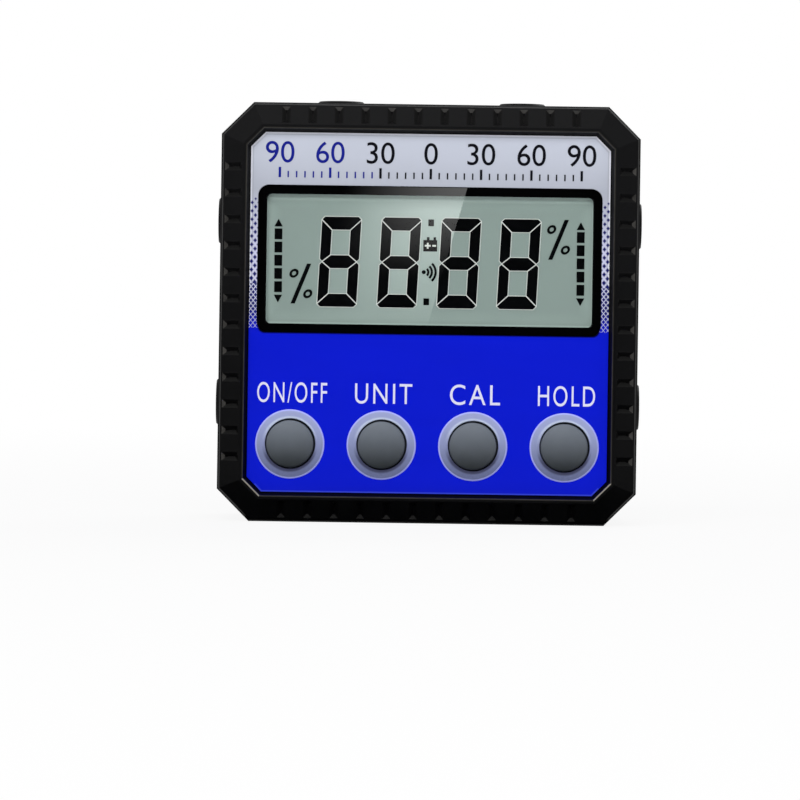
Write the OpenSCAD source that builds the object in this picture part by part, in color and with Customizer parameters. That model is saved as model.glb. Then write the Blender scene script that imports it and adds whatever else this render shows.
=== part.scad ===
// Pocket angle gauge: an octagonal case with a display window, four keys and a magnetic base.
// Sizes are in millimetres. X runs to the right, Y from the face to the back and Z up.
// The origin is the middle of the base.

/* [Case] */
// Leg of the slanted cut at each corner
corner_cut = 4.2; // [3.6:0.1:4.8]
// Thickness of the side walls
wall = 2; // [1.6:0.1:2.2]
// Depth of the rear cover's rim
cover_d = 4; // [3.6:0.1:5]
// Bevel around the rear cover
rear_bevel = 0.8; // [0.3:0.1:1.2]
// Bevel on both sides of the seam between case and cover
seam_bevel = 0.3; // [0.1:0.05:0.5]

/* [Face frame] */
// Width of the frame from the outer edge to its inner lip
frame_w = 3.4; // [2.9:0.05:3.6]
// Width of the flat lip along the frame's inner edge
lip_w = 0.45; // [0.3:0.05:0.8]
// Run of the steep wall from the lip down to the face
lip_run = 0.4; // [0.2:0.05:0.6]
// How far the frame falls away from the lip to the outer edge
frame_fall = 0.8; // [0.4:0.1:1.2]
// Bevel at the frame's outer edge
edge_bevel = 0.35; // [0.2:0.05:0.6]
// Depth of the face below the lip
face_recess = 1; // [0.6:0.1:1.2]
// Distance between grip grooves
groove_pitch = 3.46; // [2.6:0.02:5]
// Width of a grip groove
groove_w = 1.1; // [0.8:0.05:1.8]
// Depth of a grip groove
groove_depth = 0.55; // [0.3:0.05:0.8]

/* [Side pads] */
// Diameter of a raised pad where it meets the side wall
pad_d = 7.2; // [4:0.1:8]
// Height of a raised pad
pad_h = 0.7; // [0.3:0.1:1]
// Distance of a pad from the middle of its side
pad_spread = 12.1; // [9:0.1:14]

/* [Face] */
// Thickness of the printed face sheet
overlay_t = 0.4; // [0.2:0.05:0.5]
// Thickness of the front wall behind the sheet
panel_t = 1.5; // [1.4:0.1:1.9]
// Height of the face above the display window
header_h = 7.1; // [6.4:0.05:10]
// Height of the display window
window_h = 19.2; // [16:0.2:24]
// Width of the face on each side of the window
window_side = 1.2; // [1.2:0.05:4]
// Corner radius of the display window
window_r = 1.4; // [0.6:0.1:3]
// Thickness of the window
window_t = 1.2; // [0.8:0.1:1.3]
// Width of the ledge that the window sits on
window_ledge = 1.05; // [0.6:0.05:1.6]

/* [Keys] */
// Diameter of a key
key_d = 6.4; // [5:0.1:6.8]
// How far a key stands out of the face
key_proud = 0.9; // [0.6:0.1:1.2]
// Rise of a key's domed top
key_dome = 0.45; // [0.2:0.05:0.6]
// Distance between keys
key_pitch = 12; // [9:0.1:13.4]
// Distance from the window's lower edge to the row of keys
key_drop = 14.7; // [13:0.1:18]
// Distance from the row of keys to the face's lower edge
key_margin = 6.4; // [5.8:0.05:9]
// Travel of a key
key_travel = 0.5; // [0.2:0.05:0.6]
// Width of the flange that keeps a key in
key_flange = 0.55; // [0.4:0.05:0.8]
// Edge of a square switch body
switch_w = 4.5; // [4:0.1:6]

/* [Display and board] */
// Reach of the display glass past each side of the window
lcd_side = 1; // [0.6:0.05:1.4]
// Thickness of one plate of the display glass
glass_t = 1.4; // [0.7:0.1:1.5]
// Height of the contact strip's step below the display's rear plate
lcd_step = 2.4; // [2:0.1:3]
// Wall of the frame that holds the display
holder_wall = 1; // [0.7:0.1:1.1]
// Depth of that frame behind the display
holder_back = 2; // [1.6:0.1:3]
// Thickness of the circuit board
board_t = 1.2; // [0.8:0.1:1.6]
// Room between the tallest part on the board and the battery tray
parts_gap = 1.25; // [0.3:0.05:4]
// Diameter of the board's posts
post_d = 4.6; // [4:0.1:5]
// Diameter of the buzzer
buzzer_d = 9.6; // [8:0.1:10]

/* [Batteries] */
// Diameter of a cell
cell_d = 10.5; // [9:0.1:12]
// Length of a cell with its button
cell_len = 44.5; // [38:0.1:60]
// Length of the contact springs with the cells in place
spring_len = 3; // [2:0.1:5]
// Wall of the battery tray
tray_wall = 1.2; // [0.8:0.1:1.5]
// Thickness of the contact plates
contact_t = 0.4; // [0.2:0.05:0.5]

/* [Battery door] */
// Thickness of the door, and of the rear cover's plate
door_t = 2; // [1.6:0.1:2.4]
// How far the door covers the edge of the battery bay
door_lap = 0.95; // [0.4:0.05:1.6]
// Reach of the runners along both edges of the door
runner_w = 1.05; // [0.6:0.05:1.4]
// Thickness of the runners
runner_t = 0.8; // [0.5:0.05:0.9]
// Number of grip lines on the door
grip_count = 6; // [3:1:8]

/* [Base magnets] */
// Diameter of a magnet
magnet_d = 10; // [6:0.5:11]
// Thickness of a magnet
magnet_t = 3; // [2:0.1:3.4]
// Distance of a magnet from the middle of the base
magnet_spread = 13; // [9:0.1:13.4]

/* [Screws] */
// Diameter of the case screws
screw_d = 2; // [1.6:0.1:2.4]
// Length of the case screws under the head
screw_len = 10; // [7:0.5:11]
// Diameter of the screw heads
screw_head_d = 3.8; // [3.2:0.1:4]
// Diameter of the case's screw posts
boss_d = 5.2; // [4.8:0.1:5.4]

/* [Hidden] */
$fn = 64;
arc_steps = 8;

// Clearances: over lets a cut run past a face, fit is a close gap, slack a loose one, press a tight bore.
over = 1;
fit = 0.1;
slack = 0.15;
press = 0.03;
room = 0.5;

// Colours
black_plastic = "#1c1c1d";
dark_plastic = "#2c2d30";
grey_plastic = "#5c6267";
blue_sheet = "#0d1bcd";
pale_glass = "#8b9b94";
steel = "#b9bcc0";
board_green = "#1f5a3a";

// Battery tray across the case: cells, contacts and walls set the width
trough_r = cell_d / 2 + slack + fit;
cell_lift = 0.3;
case_w = cell_len + spring_len + 2 * (contact_t + tray_wall + slack + wall);

// Face from top to bottom: header, window and keys set the height
face_inset = frame_w + lip_run;
case_h = 2 * face_inset + header_h + window_h + key_drop + key_margin;
mid_z = case_h / 2;
window_w = case_w - 2 * (face_inset + window_side);
window_up = mid_z - face_inset - header_h - window_h / 2;
key_down = mid_z - face_inset - key_margin;

// Stack from face to back: panel, display, board, cells and door set the depth
chip_t = 1.6;
display_d = face_recess + overlay_t + panel_t + 2 * glass_t + holder_back;
tray_d = tray_wall + trough_r + cell_d / 2 + cell_lift;
case_d = display_d + board_t + chip_t + parts_gap + tray_d + door_t;

// Depths of the stack, from the face to the back
front_y = -case_d / 2;
rear_y = case_d / 2;
face_y = front_y + face_recess;
floor_y = face_y + overlay_t;
panel_y = floor_y + panel_t;
window_y = face_y + window_t;
glass_y = panel_y + glass_t;
lcd_y = glass_y + glass_t;
board_y = lcd_y + holder_back;
board_rear_y = board_y + board_t;
seam_y = rear_y - cover_d;
plate_y = rear_y - door_t;

// Frame around the face
slope_inset = frame_w - lip_w;
slope_run = slope_inset - edge_bevel;
slope_angle = atan2(frame_fall, slope_run);
slope_len = norm([slope_run, frame_fall]);
groove_margin = 0.2;
groove_len = slope_len - 2 * groove_margin;
groove_end = 0.55;
edge_fall = 0.5;

// Locating lip of the rear cover
cover_lip_t = 1;
cover_lip_len = 1.5;
cover_lip_inset = wall + slack;
cover_hollow = cover_lip_inset + cover_lip_t;

// Screw posts in the corners
boss_skin = 0.4;
boss_inset = (corner_cut + sqrt(2) * (boss_d / 2 + boss_skin)) / 2;
boss_x = case_w / 2 - boss_inset;
boss_z = case_h / 2 - boss_inset;
boss_y = seam_y - cover_lip_len - slack;
screw_head_h = 1.4;
counterbore_h = screw_head_h + 2 * slack;
seat_y = rear_y - counterbore_h;
tip_y = seat_y - screw_len;
driver_w = 0.5;
driver_len = 2.2;
driver_depth = 0.7;

// Keys
key_count = 4;
key_hole_d = key_d + 2 * slack + fit;
key_bevel = 0.3;
key_flange_t = 0.6;
key_flange_d = key_d + 2 * key_flange;
key_top_y = face_y - key_proud;
key_base_y = panel_y + key_flange_t;
key_stem_d = 3;
key_stem_h = 0.4;
switch_h = 2.4;
switch_y = board_y - switch_h;
plunger_d = 2.2;
plunger_y = key_base_y + key_stem_h;
plunger_depth = 1.2;
plunger_room = 0.3;

// Display
lcd_w = window_w + 2 * lcd_side;
lcd_over = 0.7;
lcd_under = 2.6;
lcd_top = window_up + window_h / 2 + lcd_over;
lcd_foot = window_up - window_h / 2 - lcd_under;
holder_margin = slack + holder_wall;
strip_t = 1.6;
strip_z = lcd_foot + lcd_step / 2;
strip_margin = 1.5;
strip_len = lcd_w - 2 * strip_margin;
holder_hole_margin = 2;

// Board and its posts
board_gap = 0.6;
board_x = case_w / 2 - wall - board_gap;
magnet_recess = 0.1;
magnet_roof = 1.5;
magnet_rim = 1.5;
magnet_z = magnet_recess + magnet_t;
board_foot = magnet_z + magnet_roof + board_gap - mid_z;
board_top = case_h / 2 - wall - board_gap;
post_margin = 1;
post_spread_low = board_x - post_d / 2 - post_margin;
post_spread_high = 12;
post_low = lcd_foot - holder_margin - post_d / 2 - post_margin;
post_high = lcd_top + holder_margin + post_d / 2 + post_margin;
board_screw_d = 1.6;
board_screw_len = 4.6;
board_screw_head_d = 3;
board_screw_head_h = 1.1;
posts = [
    [-post_spread_low, post_low], [post_spread_low, post_low],
    [-post_spread_high, post_high], [post_spread_high, post_high]
];

// Parts on the back of the board
chip_w = 10;
chip_lead = 1;
chip_lead_t = 0.4;
chip_lead_count = 8;
chip_z = 4;
sensor_w = 4;
sensor_t = 1.2;
sensor_at = [-8, -17];
small_size = [1.6, 0.8, 0.8];
small_pitch = 3;
small_cols = 4;
small_rows = 2;
small_at = [7, -18];
buzzer_h = 4.6;
buzzer_hole_d = 1.6;
buzzer_z = board_top - buzzer_d / 2 - board_gap;

// Batteries and their tray
cell_pitch = 2 * trough_r + fit;
cell_y = plate_y - cell_lift - cell_d / 2;
cell_z = cell_pitch / 2;
button_d = 3.8;
button_h = 0.8;
foot_d = 7;
foot_h = 0.2;
shoulder = 0.4;
tray_x = case_w / 2 - wall - slack;
bay_x = tray_x - tray_wall;
tray_r = trough_r + tray_wall;
tray_z = cell_z + tray_r - slack;
bay_z = cell_z + trough_r - slack;
ridge_drop = 2.5;
contact_x = bay_x - contact_t;
contact_w = 6.4;
contact_gap = 0.2;
contact_h = 2 * sqrt(pow(trough_r - contact_gap, 2) - pow(contact_w / 2, 2));
strap_drop = ridge_drop - fit;
leg_w = 2;
leg_room = leg_w / 2 + slack;
spring_wire = 0.5;
spring_r_wide = 2.6;
spring_r_narrow = 1.5;
spring_turns = 2.5;
spring_steps = 20;
spring_sides = 6;

// Battery door and its slot
door_h = 2 * (bay_z + door_lap);
door_left = -tray_x + tray_wall / 2;
door_right = case_w / 2;
slot_z = door_h / 2 + slack;
runner_z = door_h / 2 + runner_w;
runner_slot_z = runner_z + slack;
runner_slot_y = plate_y + runner_t + 2 * fit;
rail_z = runner_slot_z + tray_wall;
rail_t = 1.2;
grip_pitch = 1.6;
grip_depth = 0.5;
grip_len = 12;
grip_x = 12;

// Corners of the case outline in X and Z, drawn in by inset on every side.
function outline(inset) =
    let (x = case_w / 2 - inset)
    let (z = case_h / 2 - inset)
    let (c = corner_cut - inset * (2 - sqrt(2)))
    [[x, c - z], [x, z - c], [x - c, z], [c - x, z], [-x, z - c], [-x, c - z], [c - x, -z], [x - c, -z]];

// Outline of a rectangle with rounded corners, about its middle.
function rounded(w, h, r) = [
    for (corner = [0 : 3])
        let (side_x = (corner == 0 || corner == 3) ? 1 : -1)
        let (side_z = corner < 2 ? 1 : -1)
        for (step = [0 : arc_steps])
            let (a = 90 * (corner + step / arc_steps))
            [side_x * (w / 2 - r) + r * cos(a), side_z * (h / 2 - r) + r * sin(a)]
];

// Gives depth from y0 to y1 to a flat shape drawn in X and Z about the middle of the case.
module slab(y0, y1) {
    translate([0, y1, mid_z])
        rotate([90, 0, 0])
            linear_extrude(y1 - y0)
                children();
}

// Rectangle between two corners.
module rect(x0, x1, z0, z1) {
    translate([x0, z0])
        square([x1 - x0, z1 - z0]);
}

// Slab with the case outline.
module case_slab(inset, y0, y1) {
    slab(y0, y1)
        polygon(outline(inset));
}

// Solid through a row of case outlines, each given as [inset, y], from front to back.
module case_loft(rings) {
    sides = 8;
    last = (len(rings) - 1) * sides;
    points = [for (ring = rings) for (p = outline(ring[0])) [p[0], ring[1], mid_z + p[1]]];
    front_cap = [for (i = [0 : sides - 1]) sides - 1 - i];
    rear_cap = [for (i = [0 : sides - 1]) last + i];
    walls = [
        for (k = [0 : sides : last - 1])
            for (i = [0 : sides - 1])
                let (j = (i + 1) % sides)
                [k + i, k + j, k + sides + j, k + sides + i]
    ];
    polyhedron(points, concat([front_cap], walls, [rear_cap]));
}

// Round bar along Y about the middle of the case.
module bar(d, y0, y1) {
    translate([0, y0, mid_z])
        rotate([-90, 0, 0])
            cylinder(d = d, h = y1 - y0);
}

// Round rod along X.
module rod(r, x0, x1) {
    translate([x0, 0, 0])
        rotate([0, 90, 0])
            cylinder(r = r, h = x1 - x0);
}

// Copies to the four screw posts.
module at_bosses() {
    for (sx = [-1, 1])
        for (sz = [-1, 1])
            translate([sx * boss_x, 0, sz * boss_z])
                children();
}

// Copies to the four board posts.
module at_posts() {
    for (p = posts)
        translate([p[0], 0, p[1]])
            children();
}

// Places a child on one key's axis.
module at_key(index) {
    translate([(index - (key_count - 1) / 2) * key_pitch, 0, -key_down])
        children();
}

// Copies to the four key axes.
module at_keys() {
    for (index = [0 : key_count - 1])
        at_key(index)
            children();
}

// Copies to the two magnets.
module at_magnets() {
    for (side = [-1, 1])
        translate([side * magnet_spread, 0, 0])
            children();
}

// Cutter for one grip groove: a V along Z whose ends slope up, with its mouth just above the plane Y = 0.
module groove_cutter() {
    lift = groove_depth / 2;
    grow = 1 + lift / groove_depth;
    half = groove_w / 2 * grow;
    back = groove_end * (grow - 1);
    polyhedron(
        [
            [-half, -lift, -back], [half, -lift, -back],
            [half, -lift, groove_len + back], [-half, -lift, groove_len + back],
            [0, groove_depth, groove_end], [0, groove_depth, groove_len - groove_end]
        ],
        [[0, 3, 2, 1], [1, 2, 5, 4], [4, 5, 3, 0], [0, 1, 4], [2, 3, 5]]
    );
}

// Grooves along one side of the frame, which lies half away from the middle and is length long.
module groove_row(half, length) {
    count = floor((length - 2 * corner_cut) / groove_pitch) - 1;
    for (i = [0 : count - 1])
        translate([(i - (count - 1) / 2) * groove_pitch, front_y, half - slope_inset])
            rotate([-slope_angle, 0, 0])
                translate([0, 0, groove_margin])
                    groove_cutter();
}

// Grooves on all four sides of the frame.
module frame_grooves() {
    for (side = [0 : 3])
        translate([0, 0, mid_z])
            rotate([0, 90 * side, 0])
                groove_row(
                    (side % 2 == 0 ? case_h : case_w) / 2,
                    side % 2 == 0 ? case_w : case_h
                );
}

// Pads on one side wall: low cones whose wide end is sunk into the wall.
module pad_pair(half) {
    sink = wall / 2;
    flare = pad_d / 2 + sink;
    for (side = [-1, 1])
        translate([side * pad_spread, 0, half - sink])
            cylinder(r1 = flare, r2 = pad_d / 2 - pad_h, h = sink + pad_h);
}

// Pads on the left, top and right walls.
module side_pads() {
    for (side = [-1 : 1])
        translate([0, 0, mid_z])
            rotate([0, 90 * side, 0])
                pad_pair((side == 0 ? case_h : case_w) / 2);
}

// Window shape grown by margin.
module window_shape(margin) {
    r = window_r + max(margin, -window_r / 2);
    translate([0, window_up])
        polygon(rounded(window_w + 2 * margin, window_h + 2 * margin, r));
}

// Pan-head screw with a cross recess: its seat lies in the plane Y = 0 and its shank runs to the front.
module pan_screw(d, length, head_d, head_h) {
    crown = head_h / 3;
    difference() {
        rotate([90, 0, 0])
            rotate_extrude()
                polygon([
                    [0, length], [d / 4, length], [d / 2, length - d / 2], [d / 2, 0], [head_d / 2, 0],
                    [head_d / 2, crown - head_h], [head_d / 2 - crown, -head_h], [0, -head_h]
                ]);
        for (turn = [0, 90])
            rotate([0, turn, 0])
                translate([-driver_len / 2, head_h - driver_depth, -driver_w / 2])
                    cube([driver_len, driver_depth + over, driver_w]);
    }
}

// Deep tub: the sloped frame, the front wall, the side walls and the posts inside them.
module front_case() {
    post_root = (floor_y + panel_y) / 2;
    cup_d = magnet_d + 2 * (fit + magnet_rim);
    cup_root = wall / 2;
    outer = [
        [slope_inset, front_y],
        [edge_bevel, front_y + frame_fall],
        [0, front_y + frame_fall + edge_fall],
        [0, seam_y - seam_bevel],
        [seam_bevel, seam_y]
    ];
    pocket = [
        [frame_w - lip_run * over / face_recess, front_y - over],
        [face_inset, face_y],
        [face_inset, floor_y]
    ];
    color(black_plastic)
        difference() {
            union() {
                difference() {
                    case_loft(outer);
                    case_slab(wall, panel_y, seam_y + over);
                }
                at_bosses()
                    bar(boss_d, post_root, boss_y);
                at_posts()
                    bar(post_d, post_root, board_y);
                at_magnets()
                    translate([0, 0, cup_root])
                        cylinder(d = cup_d, h = magnet_z + magnet_roof - cup_root);
                side_pads();
            }
            case_loft(pocket);
            slab(floor_y - over, window_y)
                window_shape(fit);
            slab(floor_y - over, panel_y + over)
                window_shape(-window_ledge);
            at_keys()
                bar(key_hole_d, floor_y - over, panel_y + over);
            at_bosses()
                bar(screw_d + 2 * press, tip_y - room, boss_y + over);
            at_posts()
                bar(board_screw_d + 2 * press, board_rear_y - board_screw_len - slack, board_y + over);
            at_magnets()
                translate([0, 0, -over])
                    cylinder(d = magnet_d + 2 * fit, h = magnet_z + over);
            frame_grooves();
        }
}

// Battery tray before it is hollowed: two round troughs side by side, and rails for the door.
module tray_block() {
    for (side = [-1, 1])
        translate([0, cell_y, mid_z + side * cell_z])
            rod(tray_r, -tray_x, tray_x);
    slab(cell_y, plate_y + fit)
        rect(-tray_x, tray_x, -tray_z, tray_z);
    slab(plate_y - rail_t, plate_y + fit)
        rect(-tray_x, tray_x, -rail_z, rail_z);
}

// Room for the two cells and their contacts.
module tray_room() {
    for (side = [-1, 1])
        translate([0, cell_y, mid_z + side * cell_z])
            rod(trough_r, -bay_x, bay_x);
    slab(cell_y, plate_y + over)
        rect(-bay_x, bay_x, -bay_z, bay_z);
    slab(cell_y - ridge_drop, cell_y + over)
        rect(-bay_x, bay_x, -cell_z, cell_z);
    for (side = [-1, 1])
        slab(cell_y - tray_r - over, cell_y)
            translate([0, side * cell_z])
                rect(contact_x - fit, bay_x, -leg_room, leg_room);
}

// Slot that the door slides in, open at the right wall.
module door_slot() {
    slab(plate_y, rear_y + over)
        rect(door_left - slack, door_right + over, -slot_z, slot_z);
    slab(plate_y, runner_slot_y)
        rect(door_left - slack, door_right + over, -runner_slot_z, runner_slot_z);
}

// Outer shape shared by the rear cover and its door.
module cover_outer() {
    case_loft([
        [seam_bevel, seam_y],
        [0, seam_y + seam_bevel],
        [0, rear_y - rear_bevel],
        [rear_bevel, rear_y]
    ]);
}

// Rear cover with its locating lip, screw posts and battery tray.
module rear_cover() {
    color(black_plastic)
        difference() {
            union() {
                difference() {
                    union() {
                        cover_outer();
                        case_slab(cover_lip_inset, seam_y - cover_lip_len, seam_y + seam_bevel);
                    }
                    case_slab(cover_hollow, seam_y - cover_lip_len - over, plate_y);
                }
                intersection() {
                    case_slab(cover_lip_inset, boss_y, plate_y + fit);
                    at_bosses()
                        bar(boss_d, boss_y, plate_y + fit);
                }
                tray_block();
            }
            tray_room();
            door_slot();
            at_bosses()
                bar(screw_d + 2 * slack, boss_y - over, rear_y);
            at_bosses()
                bar(screw_head_d + 4 * slack, seat_y, rear_y + over);
        }
}

// Sliding door with runners along both edges and grip lines near its right end.
module battery_door() {
    color(black_plastic)
        difference() {
            intersection() {
                cover_outer();
                union() {
                    slab(plate_y + fit, rear_y)
                        rect(door_left, door_right, -door_h / 2, door_h / 2);
                    slab(plate_y + fit, plate_y + fit + runner_t)
                        rect(door_left, door_right, -runner_z, runner_z);
                }
            }
            for (i = [0 : grip_count - 1])
                translate([grip_x + i * grip_pitch, rear_y, mid_z - grip_len / 2])
                    rotate([0, 0, 45])
                        translate([-grip_depth / sqrt(2), -grip_depth / sqrt(2), 0])
                            cube([grip_depth * sqrt(2), grip_depth * sqrt(2), grip_len]);
        }
}

// Printed sheet in the frame, with openings for the window and the keys.
module face_overlay() {
    color(blue_sheet)
        difference() {
            case_slab(face_inset + fit, face_y, floor_y);
            slab(face_y - over, floor_y + over)
                window_shape(fit);
            at_keys()
                bar(key_hole_d, face_y - over, floor_y + over);
        }
}

// Clear window on its ledge.
module display_window() {
    color("#d8dee3", 0.4)
        slab(face_y, window_y)
            window_shape(0);
}

// Display: a front plate, and a shorter rear plate that leaves a step for the contact strip.
module lcd_panel() {
    color(pale_glass)
        union() {
            slab(panel_y, glass_y)
                rect(-lcd_w / 2, lcd_w / 2, lcd_foot, lcd_top);
            slab(glass_y, lcd_y)
                rect(-lcd_w / 2, lcd_w / 2, lcd_foot + lcd_step, lcd_top);
        }
}

// Frame between the front wall and the board that holds the display and its contact strip.
module lcd_holder() {
    side = lcd_w / 2 + slack;
    outer_x = side + holder_wall;
    hole_x = window_w / 2 - holder_hole_margin;
    hole_z = window_h / 2 - holder_hole_margin;
    strip_x = strip_len / 2 + slack;
    strip_room = strip_t / 2 + slack;
    color(dark_plastic)
        difference() {
            slab(panel_y, board_y)
                rect(-outer_x, outer_x, lcd_foot - holder_margin, lcd_top + holder_margin);
            slab(panel_y - over, lcd_y)
                rect(-side, side, lcd_foot - slack, lcd_top + slack);
            slab(lcd_y - over, board_y + over)
                rect(-hole_x, hole_x, window_up - hole_z, window_up + hole_z);
            slab(lcd_y - over, board_y + over)
                rect(-strip_x, strip_x, strip_z - strip_room, strip_z + strip_room);
        }
}

// Rubber strip that joins the display's contacts to the board.
module contact_strip() {
    color("#3a3c40")
        slab(glass_y, board_y)
            rect(-strip_len / 2, strip_len / 2, strip_z - strip_t / 2, strip_z + strip_t / 2);
}

// Circuit board with its corners cut out around the screw posts.
module main_board() {
    color(board_green)
        difference() {
            slab(board_y, board_rear_y)
                rect(-board_x, board_x, board_foot, board_top);
            at_bosses()
                bar(boss_d + 2 * room, board_y - over, board_rear_y + over);
            at_posts()
                bar(board_screw_d + 2 * slack, board_y - over, board_rear_y + over);
        }
}

// Square chip with a row of leads on every side.
module controller_chip() {
    lead_pitch = chip_w / (chip_lead_count + 1);
    color(dark_plastic)
        translate([0, 0, chip_z])
            union() {
                slab(board_rear_y + fit, board_rear_y + chip_t)
                    square(chip_w, center = true);
                for (turn = [0 : 90 : 270])
                    for (i = [1 : chip_lead_count])
                        slab(board_rear_y, board_rear_y + chip_lead_t)
                            rotate(turn)
                                translate([i * lead_pitch - chip_w / 2, chip_w / 2])
                                    square([chip_lead_t, 2 * chip_lead], center = true);
            }
}

// Sensor that feels which way is down.
module tilt_sensor() {
    color(dark_plastic)
        slab(board_rear_y, board_rear_y + sensor_t)
            translate(sensor_at)
                square(sensor_w, center = true);
}

// Small parts in rows beside the sensor.
module chip_components() {
    color("#8a7a62")
        translate([small_at[0], board_rear_y, mid_z + small_at[1]])
            for (col = [0 : small_cols - 1])
                for (row = [0 : small_rows - 1])
                    translate([col * small_pitch, 0, row * small_pitch])
                        cube([small_size[0], small_size[2], small_size[1]]);
}

// Round buzzer with its sound hole towards the back.
module buzzer() {
    color(dark_plastic)
        translate([0, 0, buzzer_z])
            difference() {
                bar(buzzer_d, board_rear_y, board_rear_y + buzzer_h);
                bar(buzzer_hole_d, board_rear_y + buzzer_h / 2, board_rear_y + buzzer_h + over);
            }
}

// Bodies of the four push switches.
module switch_bodies() {
    well_y = switch_y + plunger_depth + plunger_room + key_travel;
    color(dark_plastic)
        difference() {
            at_keys()
                slab(switch_y, board_y)
                    square(switch_w, center = true);
            at_keys()
                bar(plunger_d + 2 * fit, switch_y - over, well_y);
        }
}

// Domed key with a flange behind the front wall and a short stem on its switch.
module key(index) {
    dome_r = (pow(key_d / 2, 2) + pow(key_dome, 2)) / (2 * key_dome);
    body_h = panel_y + fit - key_top_y;
    cone_r = key_d / 2 - key_dome - key_bevel;
    color(grey_plastic)
        at_key(index)
            union() {
                intersection() {
                    bar(key_d, key_top_y - over, panel_y + fit);
                    translate([0, key_top_y + dome_r, mid_z])
                        sphere(r = dome_r);
                    translate([0, key_top_y, mid_z])
                        rotate([-90, 0, 0])
                            cylinder(r1 = cone_r, r2 = cone_r + body_h, h = body_h);
                }
                bar(key_flange_d, panel_y, key_base_y);
                bar(key_stem_d, key_base_y - fit, plunger_y);
            }
}

module power_key() {
    key(0);
}

module unit_key() {
    key(1);
}

module calibrate_key() {
    key(2);
}

module hold_key() {
    key(3);
}

// Plunger that runs from a key's stem into its switch.
module plunger(index) {
    color("#c9ccd0")
        at_key(index)
            bar(plunger_d, plunger_y, switch_y + plunger_depth);
}

module power_plunger() {
    plunger(0);
}

module unit_plunger() {
    plunger(1);
}

module calibrate_plunger() {
    plunger(2);
}

module hold_plunger() {
    plunger(3);
}

// Cell whose button is at X = 0 and whose body runs to the left.
module cell() {
    body_len = cell_len - button_h;
    rotate([0, -90, 0])
        rotate_extrude()
            polygon([
                [0, 0], [button_d / 2, 0], [button_d / 2, button_h],
                [cell_d / 2 - shoulder, button_h], [cell_d / 2, button_h + shoulder],
                [cell_d / 2, button_h + body_len - shoulder],
                [cell_d / 2 - shoulder, button_h + body_len - foot_h],
                [foot_d / 2, button_h + body_len - foot_h], [foot_d / 2, cell_len], [0, cell_len]
            ]);
}

// Upper cell, button to the right.
module battery_cell_upper() {
    color("#b08a3c")
        translate([contact_x, cell_y, mid_z + cell_z])
            cell();
}

// Lower cell, button to the left.
module battery_cell_lower() {
    color("#b08a3c")
        translate([-contact_x, cell_y, mid_z - cell_z])
            rotate([0, 0, 180])
                cell();
}

// Plate of a contact against the tray's right end, about one cell's axis.
module contact_plate() {
    translate([contact_x, cell_y - contact_h / 2, -contact_w / 2])
        cube([contact_t, contact_h, contact_w]);
}

// Leg from a contact plate through the tray to the board.
module contact_leg() {
    translate([contact_x, board_rear_y, -leg_w / 2])
        cube([contact_t, cell_y - board_rear_y, leg_w]);
}

// Tapered coil from the contact plate at the right end back to a cell.
module contact_spring() {
    steps = spring_turns * spring_steps;
    wire_r = spring_wire / 2;
    start = contact_x - wire_r / 2;
    run = spring_len - wire_r - wire_r / 2;
    last = steps * spring_sides;
    points = [
        for (i = [0 : steps])
            let (a = 360 * i / spring_steps)
            let (r = spring_r_wide + (spring_r_narrow - spring_r_wide) * i / steps)
            for (k = [0 : spring_sides - 1])
                let (b = 360 * k / spring_sides)
                let (ring_r = r + wire_r * cos(b))
                [
                    start - run * i / steps - wire_r * sin(b),
                    cell_y + ring_r * sin(a),
                    ring_r * cos(a)
                ]
    ];
    front_cap = [for (k = [0 : spring_sides - 1]) spring_sides - 1 - k];
    rear_cap = [for (k = [0 : spring_sides - 1]) last + k];
    walls = [
        for (i = [0 : spring_sides : last - 1])
            for (k = [0 : spring_sides - 1])
                let (j = (k + 1) % spring_sides)
                [i + k, i + j, i + spring_sides + j, i + spring_sides + k]
    ];
    polyhedron(points, concat([front_cap], walls, [rear_cap]));
}

// Contact at the lower cell's foot.
module negative_contact() {
    color(steel)
        translate([0, 0, mid_z - cell_z])
            union() {
                contact_plate();
                contact_leg();
                contact_spring();
            }
}

// Contact at the upper cell's button.
module positive_contact() {
    color(steel)
        translate([0, 0, mid_z + cell_z])
            union() {
                contact_plate();
                contact_leg();
            }
}

// Contact that joins both cells at the tray's left end.
module bridge_contact() {
    color(steel)
        translate([0, 0, mid_z])
            mirror([1, 0, 0])
                union() {
                    for (side = [-1, 1])
                        translate([0, 0, side * cell_z])
                            contact_plate();
                    translate([contact_x, cell_y - strap_drop, -cell_z])
                        cube([contact_t, strap_drop + contact_h / 2, 2 * cell_z]);
                    translate([0, 0, cell_z])
                        contact_spring();
                }
}

// Screws that hold the rear cover on.
module case_screws() {
    color(steel)
        at_bosses()
            translate([0, seat_y, mid_z])
                pan_screw(screw_d, screw_len, screw_head_d, screw_head_h);
}

// Screws that hold the board on its posts.
module board_screws() {
    color(steel)
        at_posts()
            translate([0, board_rear_y, mid_z])
                pan_screw(board_screw_d, board_screw_len, board_screw_head_d, board_screw_head_h);
}

// Magnets let into the base.
module base_magnets() {
    color(steel)
        at_magnets()
            translate([0, 0, magnet_recess])
                cylinder(d = magnet_d, h = magnet_t);
}

front_case();
rear_cover();
battery_door();
face_overlay();
display_window();
lcd_panel();
lcd_holder();
contact_strip();
main_board();
controller_chip();
tilt_sensor();
chip_components();
buzzer();
switch_bodies();
power_key();
unit_key();
calibrate_key();
hold_key();
power_plunger();
unit_plunger();
calibrate_plunger();
hold_plunger();
battery_cell_upper();
battery_cell_lower();
negative_contact();
positive_contact();
bridge_contact();
case_screws();
board_screws();
base_magnets();
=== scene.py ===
"""Looks of a pocket angle gauge: finishes, print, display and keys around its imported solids."""

import math

import bmesh
import bpy
from bpy.props import FloatProperty, FloatVectorProperty, IntProperty, PointerProperty
from mathutils import Matrix, Vector


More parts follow.
